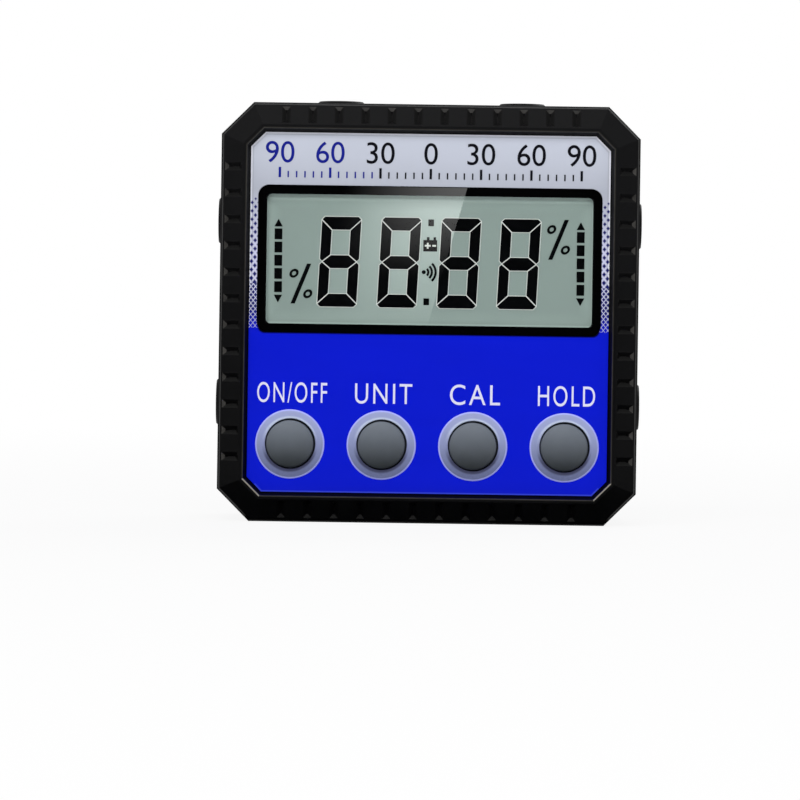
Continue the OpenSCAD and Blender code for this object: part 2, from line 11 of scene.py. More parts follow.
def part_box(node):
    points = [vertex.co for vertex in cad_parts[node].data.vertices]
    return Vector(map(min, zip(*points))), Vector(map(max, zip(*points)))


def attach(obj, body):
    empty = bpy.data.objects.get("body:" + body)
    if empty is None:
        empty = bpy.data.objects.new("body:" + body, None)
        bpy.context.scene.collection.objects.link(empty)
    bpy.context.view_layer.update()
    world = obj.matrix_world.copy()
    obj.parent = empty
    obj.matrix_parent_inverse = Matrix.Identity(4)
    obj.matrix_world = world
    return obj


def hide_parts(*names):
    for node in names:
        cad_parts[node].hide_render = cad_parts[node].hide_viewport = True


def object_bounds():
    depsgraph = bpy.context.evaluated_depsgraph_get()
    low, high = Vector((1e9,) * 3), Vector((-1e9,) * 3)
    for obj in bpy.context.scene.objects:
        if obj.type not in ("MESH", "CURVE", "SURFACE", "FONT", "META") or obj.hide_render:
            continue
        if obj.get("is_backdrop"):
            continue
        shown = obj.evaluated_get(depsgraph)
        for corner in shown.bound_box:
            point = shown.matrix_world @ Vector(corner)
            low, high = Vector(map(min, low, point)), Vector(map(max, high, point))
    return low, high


bl_info = {
    "name": "Angle Gauge Looks",
    "version": (1, 0, 0),
    "blender": (4, 5, 0),
    "location": "View3D > Sidebar > Gauge",
    "description": "Dresses the packed solids of a pocket angle gauge",
    "category": "Object",
}

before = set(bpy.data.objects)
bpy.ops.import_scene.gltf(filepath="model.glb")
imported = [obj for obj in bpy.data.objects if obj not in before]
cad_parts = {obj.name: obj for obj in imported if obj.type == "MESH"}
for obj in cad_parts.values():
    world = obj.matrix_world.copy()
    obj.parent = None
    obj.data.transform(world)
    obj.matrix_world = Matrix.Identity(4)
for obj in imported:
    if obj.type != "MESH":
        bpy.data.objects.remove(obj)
CAD_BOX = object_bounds()

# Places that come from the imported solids, in metres
MM = 0.001
PER_MM = 1 / MM
FACE_LOW, FACE_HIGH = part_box("face_overlay")
FACE_Y = FACE_LOW.y
FACE_MIDDLE = (FACE_LOW + FACE_HIGH) / 2
WINDOW_LOW, WINDOW_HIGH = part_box("display_window")
WINDOW_MIDDLE = (WINDOW_LOW + WINDOW_HIGH) / 2
GLASS_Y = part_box("lcd_panel")[0].y
DOOR_LOW, DOOR_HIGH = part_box("battery_door")
CHIP_LOW, CHIP_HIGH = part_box("controller_chip")
CHIP_MIDDLE = (CHIP_LOW + CHIP_HIGH) / 2
KEY_NAMES = ("power", "unit", "calibrate", "hold")
KEY_BOXES = {name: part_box(name + "_key") for name in KEY_NAMES}
KEY_MIDDLES = {name: (low + high) / 2 for name, (low, high) in KEY_BOXES.items()}
KEY_PITCH = KEY_MIDDLES["unit"].x - KEY_MIDDLES["power"].x
KEY_Z = KEY_MIDDLES["power"].z

# Steps around a full circle, the gap under which corners count as one, and the turn that stays sharp
ROUND_STEPS = 96
WELD = 1e-7
SHARP_TURN = math.radians(35)
# Leg of the slanted cut at the face sheet's corners, in millimetres
CORNER_CUT = 1.92
# Size and corner radius of the window's clear opening, in millimetres
VIEW_W = 43.1
VIEW_H = 17.0
VIEW_R = 0.3
# Place of the display's slanted light edge at the window's foot, and its run for each unit of height
SHEEN_FOOT = -0.43 * MM
SHEEN_SLOPE = 0.273
# How far print stands in front of what carries it
PRINT_T = 0.03 * MM


def srgb(red, green, blue):
    """Linear colour of a display colour given from 0 to 255."""

    def linear(value):
        share = value / 255
        return share / 12.92 if share <= 0.04045 else ((share + 0.055) / 1.055) ** 2.4

    return (linear(red), linear(green), linear(blue), 1.0)


def length(name, description, millimetres):
    """A size property, given in millimetres."""
    return FloatProperty(
        name=name, description=description, default=millimetres * MM, unit="LENGTH", precision=5
    )


def amount(name, description, value):
    """A share, level or ratio property."""
    return FloatProperty(name=name, description=description, default=value, precision=4)


def turn(name, description, degrees):
    """An angle property, given in degrees."""
    return FloatProperty(
        name=name, description=description, default=math.radians(degrees), subtype="ANGLE"
    )


def number(name, description, value):
    """A count property."""
    return IntProperty(name=name, description=description, default=value, min=1)


def colour(name, description, red, green, blue):
    """A colour property, given as a display colour from 0 to 255."""
    return FloatVectorProperty(
        name=name,
        description=description,
        default=srgb(red, green, blue),
        size=4,
        subtype="COLOR",
        min=0,
        max=1,
    )


class GaugeCaseSettings(bpy.types.PropertyGroup):
    """Finish of the moulded case, its cover and the battery door."""

    # The plastic is lighter at the top and darker at the foot: painted shade from the light above
    plastic: colour("Plastic", "Upper part of the moulded black plastic", 21, 21, 22)
    plastic_shaded: colour("Plastic Foot", "Lower part of the moulded black plastic", 5, 5, 6)
    roughness: amount("Roughness", "Roughness of the moulded surface", 0.3)
    shine: amount("Shine", "Strength of the plastic's reflections", 0.3)
    # Painted highlight along the frame's inner lip, where its rounded edge catches the light
    lip_painted_light: colour("Lip", "Worn inner edge of the frame", 58, 56, 51)
    # Painted light on the lit sides of the grip grooves, and painted glints on their outer ends
    groove: colour("Groove", "Lit sides of the grip grooves", 27, 27, 27)
    groove_end_glint: colour("Groove End", "Rubbed outer ends of the grip grooves", 84, 82, 79)
    grain: length("Grain", "Size of the moulded grain", 0.16)
    grain_depth: length("Grain Depth", "Depth of the moulded grain", 0.006)
    edge: length("Edge Radius", "Radius of the rounded edges", 0.14)
    arrow: length("Arrow", "Length of the arrow on the battery door", 7)
    arrow_rise: length("Arrow Rise", "Height of the arrow above the door", 0.3)
    arrow_ink: colour("Arrow Ink", "Colour of the arrow on the battery door", 128, 130, 134)


class GaugeFaceSettings(bpy.types.PropertyGroup):
    """Print on the face sheet, with its key rings, labels and angle scale."""

    silver: colour("Silver", "Upper field of the print", 196, 201, 214)
    lavender: colour("Lavender", "Ground of the dots beside the window", 208, 209, 236)
    dot_ink: colour("Dots", "Lozenges beside the window", 28, 32, 104)
    blue: colour("Blue", "Lower field of the print", 8, 26, 208)
    # Painted highlights along the cut edge of the face sheet, where it catches the light
    rim: colour("Rim", "Cut edge of the face sheet", 226, 228, 238)
    low_rim_highlight: colour("Lower Rim", "Cut edge of the face sheet at its foot", 70, 88, 226)
    # Painted shadow that the window casts on the print below it
    shade: colour("Window Shade", "Dark edge of the print under the window", 3, 3, 24)
    dot_across: length("Dot Column", "Distance between columns of dots", 0.445)
    dot_along: length("Dot Half Step", "Half the distance between dots in a column", 0.55)
    ring_d: length("Ring Diameter", "Outer diameter of the ring around a key", 9.1)
    ring_hole: length("Ring Hole", "Inner diameter of the ring around a key", 6.58)
    hole_off: length("Hole Offset", "How far a ring's hole lies right of and above its key", 0.055)
    ring_rise: length("Ring Rise", "Height of the ring above the face", 0.12)
    # The rings are lighter at the top and darker at the foot: painted shade from the light above
    ring: colour("Ring", "Upper part of the rings around the keys", 163, 172, 215)
    ring_shaded: colour("Ring Foot", "Lower part of the rings around the keys", 94, 102, 138)
    ring_rim: colour("Ring Rim", "Outer edge of the rings", 178, 184, 255)
    # Painted highlight on the upper inner edge of the rings, and the key's painted shadow on the lower
    # one
    ring_lip_highlight: colour("Ring Lip", "Upper inner edge of the rings", 204, 216, 240)
    ring_shade: colour("Ring Shade", "Lower inner edge of the rings", 66, 69, 96)
    label: colour("Labels", "Colour of the key labels", 228, 228, 252)
    label_h: length("Label Height", "Height of the key labels", 2.62)
    label_up: length("Label Distance", "Distance from a key's middle up to its label", 5.45)
    label_right: length("Label Offset", "Distance from a key's middle right to its label", 0.22)
    label_gap: amount("Label Spacing", "Letter spacing of the key labels", 1.2)
    scale_blue: colour("Scale Blue", "Left part of the angle scale", 22, 32, 140)
    scale_black: colour("Scale Black", "Right part of the angle scale", 16, 16, 24)
    scale_up: length("Scale Height", "Height of the scale's ticks above the window", 1.75)
    scale_step: length("Scale Step", "Distance between numbered ticks", 6.6)
    scale_fine: number("Fine Ticks", "Number of fine ticks between numbered ticks", 5)
    tick_h: length("Tick Height", "Height of a numbered tick", 1.35)
    tick_w: length("Tick Width", "Width of a numbered tick", 0.32)
    numeral_h: length("Numeral Height", "Height of the scale's numerals", 2.75)


class GaugeDisplaySettings(bpy.types.PropertyGroup):
    """Segments and signs of the display, measured from the middle of the case."""

    glass: colour("Glass", "Colour of the blank display", 148, 164, 159)
    # Painted sheen of the blank display beside its slanted light edge
    sheen: colour("Sheen", "Colour of the blank display beside its slanted light edge", 189, 204, 199)
    ink: colour("Segments", "Colour of a switched segment", 6, 7, 9)
    ground: colour("Segment Ground", "Pale line around and between segments", 230, 234, 230)
    digit_w: length("Digit Width", "Width of a digit", 5.16)
    digit_h: length("Digit Height", "Height of a digit", 11.84)
    digit_step: length("Digit Step", "Distance between digits", 7.88)
    digit_x: length("First Digit", "Place of the first digit across the case", -11.88)
    digit_z: length("Digit Level", "Place of the digits above the middle of the case", 6.71)
    slant: turn("Slant", "Lean of the digits", 2.7)
    bar_side: length("Upright Width", "Width of the upright segments", 1.34)
    bar_level: length("Level Width", "Width of the level segments", 1.7)
    gap: length("Segment Gap", "Gap between segments", 0.14)
    halo: length("Ground Margin", "Reach of the pale line around a digit", 0.09)
    block_w: length("Block Width", "Width of a level bar's block", 1.02)
    block_h: length("Block Height", "Height of a level bar's block", 1.42)
    block_step: length("Block Step", "Distance between a level bar's blocks", 1.737)


class GaugeKeySettings(bpy.types.PropertyGroup):
    """Four domed keys."""

    key_d: length("Key Diameter", "Diameter of a key", 6.4)
    dome: length("Dome", "Rise of a key's domed top", 0.45)
    shoulder: length("Shoulder", "Radius between a key's top and its side", 0.3)
    flange_t: length("Flange", "Thickness of the flange that keeps a key in", 0.6)
    stem_d: length("Stem", "Diameter of the stem behind a key", 3)
    stem_h: length("Stem Height", "Height of the stem behind a key", 0.4)
    # The keys are lighter at the top and darker at the foot: painted shade from the light above
    plastic: colour("Plastic", "Upper part of the keys", 113, 120, 129)
    plastic_shaded: colour("Plastic Foot", "Lower part of the keys", 40, 45, 46)
    roughness: amount("Roughness", "Roughness of the keys", 0.38)
    grain: length("Grain", "Size of the grain on the keys", 0.12)


class GaugeStudioSettings(bpy.types.PropertyGroup):
    """Camera, floor and light."""

    distance: length("Distance", "Distance of the camera from the front of the case", 600)
    field: length("Field", "Width of the picture at the front of the case", 104.77)
    shift_x: amount("Shift Across", "Sideways shift of the picture", -0.036)
    shift_y: amount("Shift Up", "Upward shift of the picture", -0.1075)
    roll: turn("Roll", "Turn of the camera about its axis", 0.82)
    floor: colour("Floor", "Colour of the floor", 214, 214, 216)
    ambient: amount("Ambient", "Light from all around", 0.3)
    box_power: amount("Softbox Power", "Power of the softbox in front, in watts", 10.5)
    back_power: amount("Back Softbox Power", "Power of the softbox behind, in watts", 7)
    box_w: length("Softbox Width", "Width of a softbox", 900)
    box_h: length("Softbox Height", "Height of a softbox", 700)
    glare: amount("Glare", "Light of the card that shows in the window", 3.4)


class Wire:
    """An output socket. Arithmetic on it adds Math nodes to its graph."""

    def __init__(self, graph, socket):
        self.graph = graph
        self.socket = socket

    def maths(self, operation, *values):
        """A Math node on these values."""
        return self.graph.add("ShaderNodeMath", {"operation": operation}, dict(enumerate(values)))

    def __add__(self, other):
        return self.maths("ADD", self, other)

    __radd__ = __add__

    def __sub__(self, other):
        return self.maths("SUBTRACT", self, other)

    def __rsub__(self, other):
        return self.maths("SUBTRACT", other, self)

    def __mul__(self, other):
        return self.maths("MULTIPLY", self, other)

    __rmul__ = __mul__

    def __truediv__(self, other):
        return self.maths("DIVIDE", self, other)

    def __rtruediv__(self, other):
        return self.maths("DIVIDE", other, self)

    def __pow__(self, other):
        return self.maths("POWER", self, other)

    def __lt__(self, other):
        return self.maths("LESS_THAN", self, other)

    def __gt__(self, other):
        return self.maths("GREATER_THAN", self, other)

    def __abs__(self):
        return self.maths("ABSOLUTE", self)

    def __floor__(self):
        return self.maths("FLOOR", self)

    def __round__(self):
        return self.maths("ROUND", self)

    def most(self, other):
        """The larger of two values."""
        return self.maths("MAXIMUM", self, other)

    def least(self, other):
        """The smaller of two values."""
        return self.maths("MINIMUM", self, other)

    def rise(self, low, high):
        """A smooth step from 0 at low to 1 at high."""
        return self.graph.add(
            "ShaderNodeMapRange",
            {"interpolation_type": "SMOOTHSTEP"},
            {"Value": self, "From Min": low, "From Max": high},
        )


class Graph:
    """A node tree while it is built, with its material where it has one."""

    def __init__(self, tree, material=None):
        self.tree = tree
        self.material = material

    def add(self, kind, settings=None, inputs=None, output=0):
        """Adds a node of this kind and gives one output, or several for a tuple of their names."""
        node = self.tree.nodes.new(kind)
        for name, value in (settings or {}).items():
            if name == "stops":
                self.set_stops(node.color_ramp.elements, value)
            else:
                setattr(node, name, value)
        for name, value in (inputs or {}).items():
            if isinstance(value, Wire):
                self.tree.links.new(value.socket, node.inputs[name])
            else:
                node.inputs[name].default_value = value
        if isinstance(output, tuple):
            return tuple(Wire(self, node.outputs[name]) for name in output)
        return Wire(self, node.outputs[output]) if node.outputs else None

    @staticmethod
    def set_stops(elements, stops):
        """Sets a ramp's stops, each a position with a colour or a level."""
        elements.remove(elements[-1])
        for place, (position, value) in enumerate(stops):
            element = elements.new(position) if place else elements[0]
            element.position = position
            element.color = (value, value, value, 1) if isinstance(value, (int, float)) else value[:]

    def point(self):
        """Place on the object, in metres."""
        return self.add("ShaderNodeTexCoord", None, None, "Object")

    def place(self):
        """Place on the object as separate X, Y and Z."""
        return self.add("ShaderNodeSeparateXYZ", None, {"Vector": self.point()}, ("X", "Y", "Z"))

    def noise(self, size, detail=2, stretch=(1, 1, 1)):
        """Soft noise whose features are about this size, drawn out along the stretched axes."""
        where = self.add(
            "ShaderNodeVectorMath",
            {"operation": "DIVIDE"},
            {0: self.point(), 1: tuple(size * axis for axis in stretch)},
            "Vector",
        )
        return self.add("ShaderNodeTexNoise", None, {"Vector": where, "Scale": 1, "Detail": detail})

    def mix(self, factor, first, second):
        """Colour between first and second."""
        return self.add("ShaderNodeMix", {"data_type": "RGBA"}, {0: factor, 6: first, 7: second}, 2)

    def mottled(self, factor, tint, low, high):
        """A colour that runs from a darker to a lighter share of itself."""
        return self.mix(factor, shaded(tint, low), shaded(tint, high))

    def ramp(self, factor, *stops):
        """Colour or level read from stops."""
        return self.add("ShaderNodeValToRGB", {"stops": stops}, {"Fac": factor}, "Color")

    def bump(self, height, depth, edge=0):
        """Normal of a surface with this relief, and with rounded edges where edge is a radius."""
        inputs = {"Height": height, "Distance": depth}
        if edge:
            inputs["Normal"] = self.add("ShaderNodeBevel", {"samples": 8}, {"Radius": edge}, "Normal")
        return self.add("ShaderNodeBump", None, inputs, "Normal")

    def principled(self, **inputs):
        """The main surface shader, with its sockets under short names."""
        names = {
            "base": "Base Color",
            "roughness": "Roughness",
            "metallic": "Metallic",
            "shine": "Specular IOR Level",
            "normal": "Normal",
        }
        return self.add(
            "ShaderNodeBsdfPrincipled", None, {names[name]: value for name, value in inputs.items()}
        )

    def either(self, factor, first, second):
        """A shader between first and second."""
        return self.add("ShaderNodeMixShader", None, {0: factor, 1: first, 2: second})

    def cover(self, shader):
        """Sends the shader to the material's output, and gives the material."""
        self.add("ShaderNodeOutputMaterial", None, {"Surface": shader})
        return self.material

    def skin(self, **inputs):
        """The material, covered by one main surface shader."""
        return self.cover(self.principled(**inputs))


def shaded(tint, share):
    """A colour made darker or lighter."""
    return (*(min(1, part * share) for part in tint[:3]), 1.0)


def start_material(name):
    """An empty graph of a new material."""
    material = bpy.data.materials.new(name)
    material.use_nodes = True
    material.node_tree.nodes.clear()
    return Graph(material.node_tree, material)


def reach(first, second):
    """Distance of a point from the middle, along two axes."""
    return (first * first + second * second) ** 0.5


def dress(material, *nodes):
    """Gives the material to whole CAD nodes."""
    for name in nodes:
        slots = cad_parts[name].data.materials
        slots.clear()
        slots.append(material)


def link(name, mesh):
    """A scene object with this mesh, at the origin."""
    piece = bpy.data.objects.new(name, mesh)
    bpy.context.scene.collection.objects.link(piece)
    return piece


def set_out(name, mesh, body, finish=None):
    """Places a finished mesh as a piece that rides on a body and takes a material slot's finish."""
    piece = link(name, mesh)
    if finish:
        mesh.materials.clear()
        mesh.materials.append(finish)
    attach(piece, body)
    return piece


def evaluated_mesh(source):
    """Plain mesh of an object with its modifiers or text worked out."""
    graph = bpy.context.evaluated_depsgraph_get()
    return bpy.data.meshes.new_from_object(source.evaluated_get(graph))


def as_mesh(name, build):
    """A plain mesh of what was built, which is used up."""
    result = bpy.data.meshes.new(name)
    build.to_mesh(result)
    build.free()
    return result


def joined(name, meshes):
    """One mesh from several, which are used up."""
    build = bmesh.new()
    for mesh in meshes:
        build.from_mesh(mesh)
        bpy.data.meshes.remove(mesh)
    return as_mesh(name, build)


def sheet(name, polygons, front, back):
    """Closed flat plates between two depths, from polygons in X and Z that may share edges."""
    build = bmesh.new()
    for points in polygons:
        build.faces.new([build.verts.new((x, front, z)) for x, z in points])
    bmesh.ops.remove_doubles(build, verts=build.verts, dist=WELD)
    swept = bmesh.ops.extrude_face_region(build, geom=build.faces[:])["geom"]
    for corner in swept:
        if isinstance(corner, bmesh.types.BMVert):
            corner.co.y = back
    bmesh.ops.recalc_face_normals(build, faces=build.faces)
    return as_mesh(name, build)


def revolved(name, profile, middle, closed=False):
    """Mesh of a profile of radius and depth pairs, turned about an axis along Y through middle."""
    build = bmesh.new()
    rings = []
    for radius, depth in profile:
        spots = ROUND_STEPS if radius > WELD else 1
        ring = []
        for step in range(spots):
            angle = math.tau * step / spots
            x = middle.x + radius * math.cos(angle)
            z = middle.z + radius * math.sin(angle)
            ring.append(build.verts.new((x, depth, z)))
        rings.append(ring)
    pairs = list(zip(rings, rings[1:]))
    if closed:
        pairs.append((rings[-1], rings[0]))
    for first, second in pairs:
        for step in range(ROUND_STEPS):
            after = step + 1
            corners = [
                first[step % len(first)],
                first[after % len(first)],
                second[after % len(second)],
                second[step % len(second)],
            ]
            build.faces.new(list(dict.fromkeys(corners)))
    bmesh.ops.recalc_face_normals(build, faces=build.faces)
    result = as_mesh(name, build)
    result.shade_smooth()
    result.set_sharp_from_angle(angle=SHARP_TURN)
    return result


def rectangle(x, z, width, height):
    """Corners of an upright rectangle about a point."""
    right, top = x + width / 2, z + height / 2
    left, foot = x - width / 2, z - height / 2
    return [(left, foot), (right, foot), (right, top), (left, top)]


def arc_band(x, z, inner, outer, start, end, steps, lean=0):
    """Quads of a ring or a part of one, leaning to the right by a share of the height."""
    quads = []
    for step in range(steps):
        first, second = (start + (end - start) * (step + more) / steps for more in (0, 1))
        spots = [(inner, first), (outer, first), (outer, second), (inner, second)]
        points = [(r * math.cos(angle), r * math.sin(angle)) for r, angle in spots]
        quads.append([(x + across + lean * up, z + up) for across, up in points])
    return quads


def inset(points, distance):
    """A convex polygon with every edge moved inwards."""
    moved = []
    edges = list(zip(points, points[1:] + points[:1]))
    for (start, corner), (_, end) in zip(edges, edges[1:] + edges[:1]):
        before = (Vector(corner) - Vector(start)).normalized()
        after = (Vector(end) - Vector(corner)).normalized()
        inward = Vector((-before.y, before.x)) + Vector((-after.y, after.x))
        moved.append(tuple(Vector(corner) + inward * distance / (1 + before.dot(after))))
    return moved


def repeat_tree():
    """Geometry nodes that repeat a pattern along a step, and that row along another step."""
    tree = bpy.data.node_groups.new("repeat_pattern", "GeometryNodeTree")
    sockets = {
        "Pattern": "NodeSocketObject",
        "Count": "NodeSocketInt",
        "Step": "NodeSocketVector",
        "Rows": "NodeSocketInt",
        "Row Step": "NodeSocketVector",
        "Finish": "NodeSocketMaterial",
    }
    for name, kind in sockets.items():
        tree.interface.new_socket(name=name, in_out="INPUT", socket_type=kind)
    tree.interface.new_socket(name="Geometry", in_out="OUTPUT", socket_type="NodeSocketGeometry")
    graph = Graph(tree)
    pattern, count, step, rows, row_step, finish = graph.add("NodeGroupInput", None, None, tuple(sockets))
    piece = graph.add("GeometryNodeObjectInfo", None, {"Object": pattern}, "Geometry")
    for spots, offset in ((count, step), (rows, row_step)):
        line = graph.add("GeometryNodeMeshLine", {"mode": "OFFSET"}, {"Count": spots, "Offset": offset})
        copies = graph.add("GeometryNodeInstanceOnPoints", None, {"Points": line, "Instance": piece})
        piece = graph.add("GeometryNodeRealizeInstances", None, {"Geometry": copies})
    piece = graph.add("GeometryNodeSetMaterial", None, {"Geometry": piece, "Material": finish})
    graph.add("NodeGroupOutput", None, {"Geometry": piece})
    return tree


def repeated(name, mesh, finish, count, step, rows=1, row_step=(0, 0, 0)):
    """Plain mesh of a pattern repeated along one or two steps. The pattern is used up."""
    tree = bpy.data.node_groups.get("repeat_pattern") or repeat_tree()
    pattern = link(name + "_pattern", mesh)
    holder = link(name + "_holder", bpy.data.meshes.new(name))
    modifier = holder.modifiers.new("repeat", "NODES")
    modifier.node_group = tree
    values = {
        "Pattern": pattern,
        "Count": count,
        "Step": step,
        "Rows": rows,
        "Row Step": row_step,
        "Finish": finish,
    }
    for socket in tree.interface.items_tree:
        if socket.in_out == "INPUT":
            modifier[socket.identifier] = values[socket.name]
    result = evaluated_mesh(holder)
    result.name = name
    holder.modifiers.clear()
    bpy.data.objects.remove(holder)
    bpy.data.objects.remove(pattern)
    return result


def text_mesh(words, gap=1):
    """Flat closed letters one unit deep, in the X and Y of a text object."""
    curve = bpy.data.curves.new("letters", "FONT")
    curve.body = words
    curve.space_character = gap
    curve.extrude = 0.5
    curve.resolution_u = 6
    writer = link("letters", curve)
    result = evaluated_mesh(writer)
    bpy.data.objects.remove(writer)
    return result


def spread(mesh, axis):
    """Lowest and highest place of a mesh along an axis."""
    places = [corner.co[axis] for corner in mesh.vertices]
    return min(places), max(places)


def lettering(words, middle, foot, height, width=0, gap=1):
    """Letters on the face sheet, of a set height, and of a set width unless that is 0."""
    sample = text_mesh("H")
    low, high = spread(sample, 1)
    bpy.data.meshes.remove(sample)
    mesh = text_mesh(words, gap)
    left, right = spread(mesh, 0)
    upright = height / (high - low)
    across = width / (right - left) if width else upright
    settle = (
        Matrix.Translation((middle, FACE_Y - PRINT_T / 2, foot))
        @ Matrix.Rotation(math.pi / 2, 4, "X")
        @ Matrix.Diagonal((across, upright, PRINT_T, 1))
        @ Matrix.Translation((-(left + right) / 2, -low, 0))
    )
    mesh.transform(settle)
    return mesh


def past_face(across, up):
    """How far a point lies outside the face sheet's outline, square on and across its cut corners."""
    half = (FACE_HIGH.x - FACE_LOW.x) / 2 * PER_MM
    corner = (2 * half - CORNER_CUT) / math.sqrt(2)
    return (abs(across) - half).most(abs(up) - half), (abs(across) + abs(up)) / math.sqrt(2) - corner


def groove_faces(turn_x, turn_z, across, up):
    """Shares of painted light on the sides of the frame's grip grooves, and of painted glints on their
    outer ends.
    """
    steep, foot_glint = 0.3, 0.12
    upright = abs(across) > abs(up)
    outward = upright * turn_x * across + (1 - upright) * turn_z * up
    lit = upright * (turn_z > steep) + (1 - upright) * (abs(turn_x) > steep) * (up > 0)
    end_glint = (outward < 0) * (foot_glint + (1 - foot_glint) * upright.most(up > 0))
    return lit, end_glint


def moulded_plastic(name, settings, framed=False):
    """Grained black plastic with painted shade towards its foot: satin all over, or matt with a satin
    frame, a painted highlight on the lip and painted light and glints in the grooves.
    """
    graph = start_material(name)
    cloud = graph.noise(3 * MM)
    grain = graph.noise(settings.grain, detail=3)
    x, y, z = graph.place()
    up = (z - FACE_MIDDLE.z) * PER_MM
    # Painted shade: darker towards the foot and lighter towards the top, with tone that differs at random
    dark_level, light_level, uneven = -30, 20, 0.24
    lightness = up.rise(dark_level, light_level) + uneven * (cloud - 0.5)
    base = graph.mix(lightness, settings.plastic_shaded, settings.plastic)
    normal = graph.bump(grain, settings.grain_depth, settings.edge)
    if not framed:
        return graph.skin(base=base, roughness=0.36 + 0.14 * grain, shine=0.5, normal=normal)
    # Where zones start and end, in millimetres outside the face sheet or behind the case's front
    lip_start, lip_end = (0.42, 0.48), (0.58, 0.66)
    groove_start, slope_end = (0.66, 0.7), (3.76, 3.84)
    wall_start, front_turn = (2.5, 7), -0.1
    matt = graph.principled(base=base, roughness=0.52 + 0.12 * grain, shine=0.08, normal=normal)
    straight, slanted = past_face(x * PER_MM, up)
    past = straight.most(slanted)
    on_lip = past.rise(*lip_start)
    front = y < FACE_Y
    # Painted highlight along the frame's inner lip, seven times brighter on its lower slanted corners
    lip_painted_light = front * on_lip * (1 - past.rise(*lip_end))
    base = graph.mix(lip_painted_light * (0.4 + 0.8 * cloud), base, settings.lip_painted_light)
    low_corner_highlight = lip_painted_light * (slanted > straight) * (up < 0)
    base = graph.mix(low_corner_highlight, base, shaded(settings.lip_painted_light, 7))
    facing = graph.add("ShaderNodeNewGeometry", None, None, "True Normal")
    turn_x, turn_y, turn_z = graph.add("ShaderNodeSeparateXYZ", None, {"Vector": facing}, ("X", "Y", "Z"))
    lit, end_glint = groove_faces(turn_x, turn_z, x * PER_MM, up)
    grooved = front * past.rise(*groove_start) * (straight > slanted)
    # Painted light on the lit sides of the grip grooves, and painted glints on their outer ends
    base = graph.mix(grooved * lit, base, settings.groove)
    base = graph.mix(grooved * end_glint * cloud, base, settings.groove_end_glint)
    roughness = settings.roughness - 0.06 + 0.08 * cloud + 0.06 * grain
    satin = graph.principled(base=base, roughness=roughness, shine=settings.shine, normal=normal)
    sides = ((y - CAD_BOX[0].y) * PER_MM).rise(*wall_start) * (turn_y > front_turn)
    polished = sides.most(front * on_lip * (1 - past.rise(*slope_end)))
    return graph.cover(graph.either(polished, matt, satin))


def past_round(x, z, middle_z, width, height, corner_r):
    """How many millimetres a point lies outside an upright rectangle with round corners."""
    over_x = abs(x) * PER_MM - (width / 2 - corner_r)
    over_z = abs(z - middle_z) * PER_MM - (height / 2 - corner_r)
    return reach(over_x.most(0), over_z.most(0)) + over_x.most(over_z).least(0) - corner_r


def past_view(x, z):
    """How far a point lies outside the window's clear opening, in millimetres."""
    return past_round(x, z, WINDOW_MIDDLE.z, VIEW_W, VIEW_H, VIEW_R)


def window_shade(x, z):
    """1 on the painted shadow under the window, fading to 0 around it."""
    drop, narrower, corner_r = 0.14 * MM, 0.2, 0.9
    size = (WINDOW_HIGH - WINDOW_LOW) * PER_MM
    past = past_round(x, z, WINDOW_MIDDLE.z - drop, size.x - narrower, size.z, corner_r)
    dark_end, fade_end = -0.08, 0.2
    return 1 - past.rise(dark_end, fade_end)


